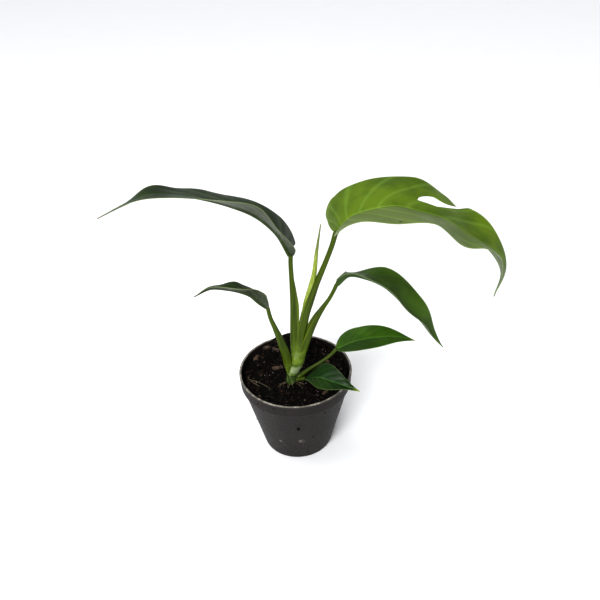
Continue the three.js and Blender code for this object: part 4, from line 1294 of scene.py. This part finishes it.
# The finish of each leaf. Two greens above and below, how strongly the veins, midrib, margin and dots
# show, roughness, the tip and where it begins, the painted light of the right half (a tint that stands
# in for that half's sheen and shade, strongest near the base) and how much of it shows, and brown spots
# in mm.
LOOK_NAMES = ["slot", "above", "below", "vein", "veins", "rib", "margin", "dots", "rough", "tip",
              "tip_start", "right_painted_light", "right_painted_light_share", "brown"]
LEAF_LOOKS = {
    "upper_left": ["dark_leaf", ["#152706", "#20350b"], ["#25320f", "#303e1a"], "#5f7a3a", 0.12, 0.3,
                   0.5, 0, 0.42, "#6b5f4a", 0.93, "#22330e", 0.4, []],
    "upper_right": ["fresh_leaf", ["#4b6404", "#60790a"], ["#44580e", "#50661a"], "#7fa040", 0.28, 0.45,
                    0.4, 0.8, 0.34, "#5a5a30", 0.97, "#6b7a44", 0.75, [[48.3, -22.2, 146.1, 1.1]]],
    # Its underside greens are darker than its upper ones: painted shade on the underside, which is seen
    # in shade.
    "lower_left": ["dark_leaf", ["#22330a", "#2e4212"], ["#1d2a0c", "#27340f"], "#5c7440", 0.08, 0.3,
                   0.5, 0, 0.44, "#5b5048", 0.92, "#33431a", 0.3, []],
    "mid_right": ["dark_leaf", ["#36500b", "#466412"], ["#33481a", "#3c5322"], "#56763a", 0.1, 0.3,
                  0.35, 0.4, 0.42, "#2e2018", 0.965, "#3c5a1c", 0.2, []],
    "small_right": ["young_leaf", ["#2e4e06", "#3e600c"], ["#3a5522", "#45602c"], "#5c8434", 0.08, 0.35,
                    0.35, 0, 0.42, "#8a8a30", 0.93, "#203f04", 0.7, [[64, 6, 59.4, 1.0]]],
    "front_right": ["young_leaf", ["#0f2803", "#173606"], ["#304c20", "#3a5628"], "#4a7a30", 0.1, 0.35,
                    0.3, 0, 0.36, "#8a9a34", 0.86, "#2c4610", 0.8, []],
}

for name, row in LEAF_LOOKS.items():
    look = dict(zip(LOOK_NAMES, row))
    points, faces, marks, skin_of = make_leaf(BLADES[name])
    skins = [make_leaf_finish(f"leaf_skin_{name}", look, *look["above"]),
             make_leaf_finish(f"leaf_underside_{name}", look, *look["below"])]
    add_piece(f"leaf_{name}", points, faces, skins, [f"blade_{name}"], marks, skin_of, 70)

# %% [markdown]
# ## Floor and light
#
# The floor is a wide pale sheet that fades out of the picture. One very wide lamp stands far above and
# a little behind, so its light is as strong at the edge of the floor as in the middle and every shadow
# is soft. A weaker panel on the camera's side opens the shadows, and an even pale world fills the rest,
# as in a small product studio.

# %% Floor
def make_floor_finish():
    """Matt white card, with a grain too faint to see as more than softness."""
    made, tree, place = new_finish("white_card")
    fleck = add(tree, "TexNoise", {0: place, "Scale": scale_of(40), "Detail": 3})
    colour = paint(tree, "#f6f6f7", ("#f9f9fa", fleck))
    dress(tree, colour, (fleck, 0, 1, 0.86, 0.94), fleck, 0.02)
    return made


FLOOR_REACH = 8.0      # metres from the middle to each side
corners = np.array([(-1, -1, 0), (1, -1, 0), (1, 1, 0), (-1, 1, 0)]) * FLOOR_REACH
floor_mesh = bpy.data.meshes.new("floor")
floor_mesh.from_pydata(corners.tolist(), [], [(0, 1, 2, 3)])
floor_mesh.materials.append(make_floor_finish())
floor = bpy.data.objects.new("floor", floor_mesh)
objects.link(floor)

# %% Lights
AIM_OF_LIGHT = [0, 0, 0.08]
WORLD_STRENGTH = 0.55
VIEW_GAMMA = 0.8         # below 1, the picture has more contrast, as a phone's has
VIEW_EXPOSURE = 0.1


def add_light(kind, spot, strength, width):
    """A lamp at a spot in metres, turned to face the plant. A sun's width is the angle it fills, in
    degrees, and a panel's is its side in metres."""
    light = bpy.data.lights.new(kind.lower(), kind)
    light.energy = strength
    if kind == "SUN":
        light.angle = math.radians(width)
    else:
        light.shape, light.size = "SQUARE", width
    lamp = bpy.data.objects.new(kind.lower(), light)
    away = np.array(spot) - AIM_OF_LIGHT
    away /= np.linalg.norm(away)
    side = np.cross([0.0, 0.01, 1.0], away)
    side /= np.linalg.norm(side)
    turn = np.eye(4)
    turn[:3, 0], turn[:3, 1], turn[:3, 2], turn[:3, 3] = side, np.cross(away, side), away, spot
    lamp.matrix_world = Matrix(turn.tolist())
    objects.link(lamp)


add_light("SUN", (-0.35, 0.25, 1.2), strength=1.1, width=50)
add_light("AREA", (-0.35, -0.9, 0.8), strength=15, width=0.5)

world = bpy.data.worlds.new("studio")
world.use_nodes = True
sky = world.node_tree.nodes["Background"].inputs
sky["Color"].default_value = linear("#f7f8fa")
sky["Strength"].default_value = WORLD_STRENGTH
bpy.context.scene.world = world

view = bpy.context.scene.view_settings
view.view_transform = "Standard"
view.gamma = VIEW_GAMMA
view.exposure = VIEW_EXPOSURE
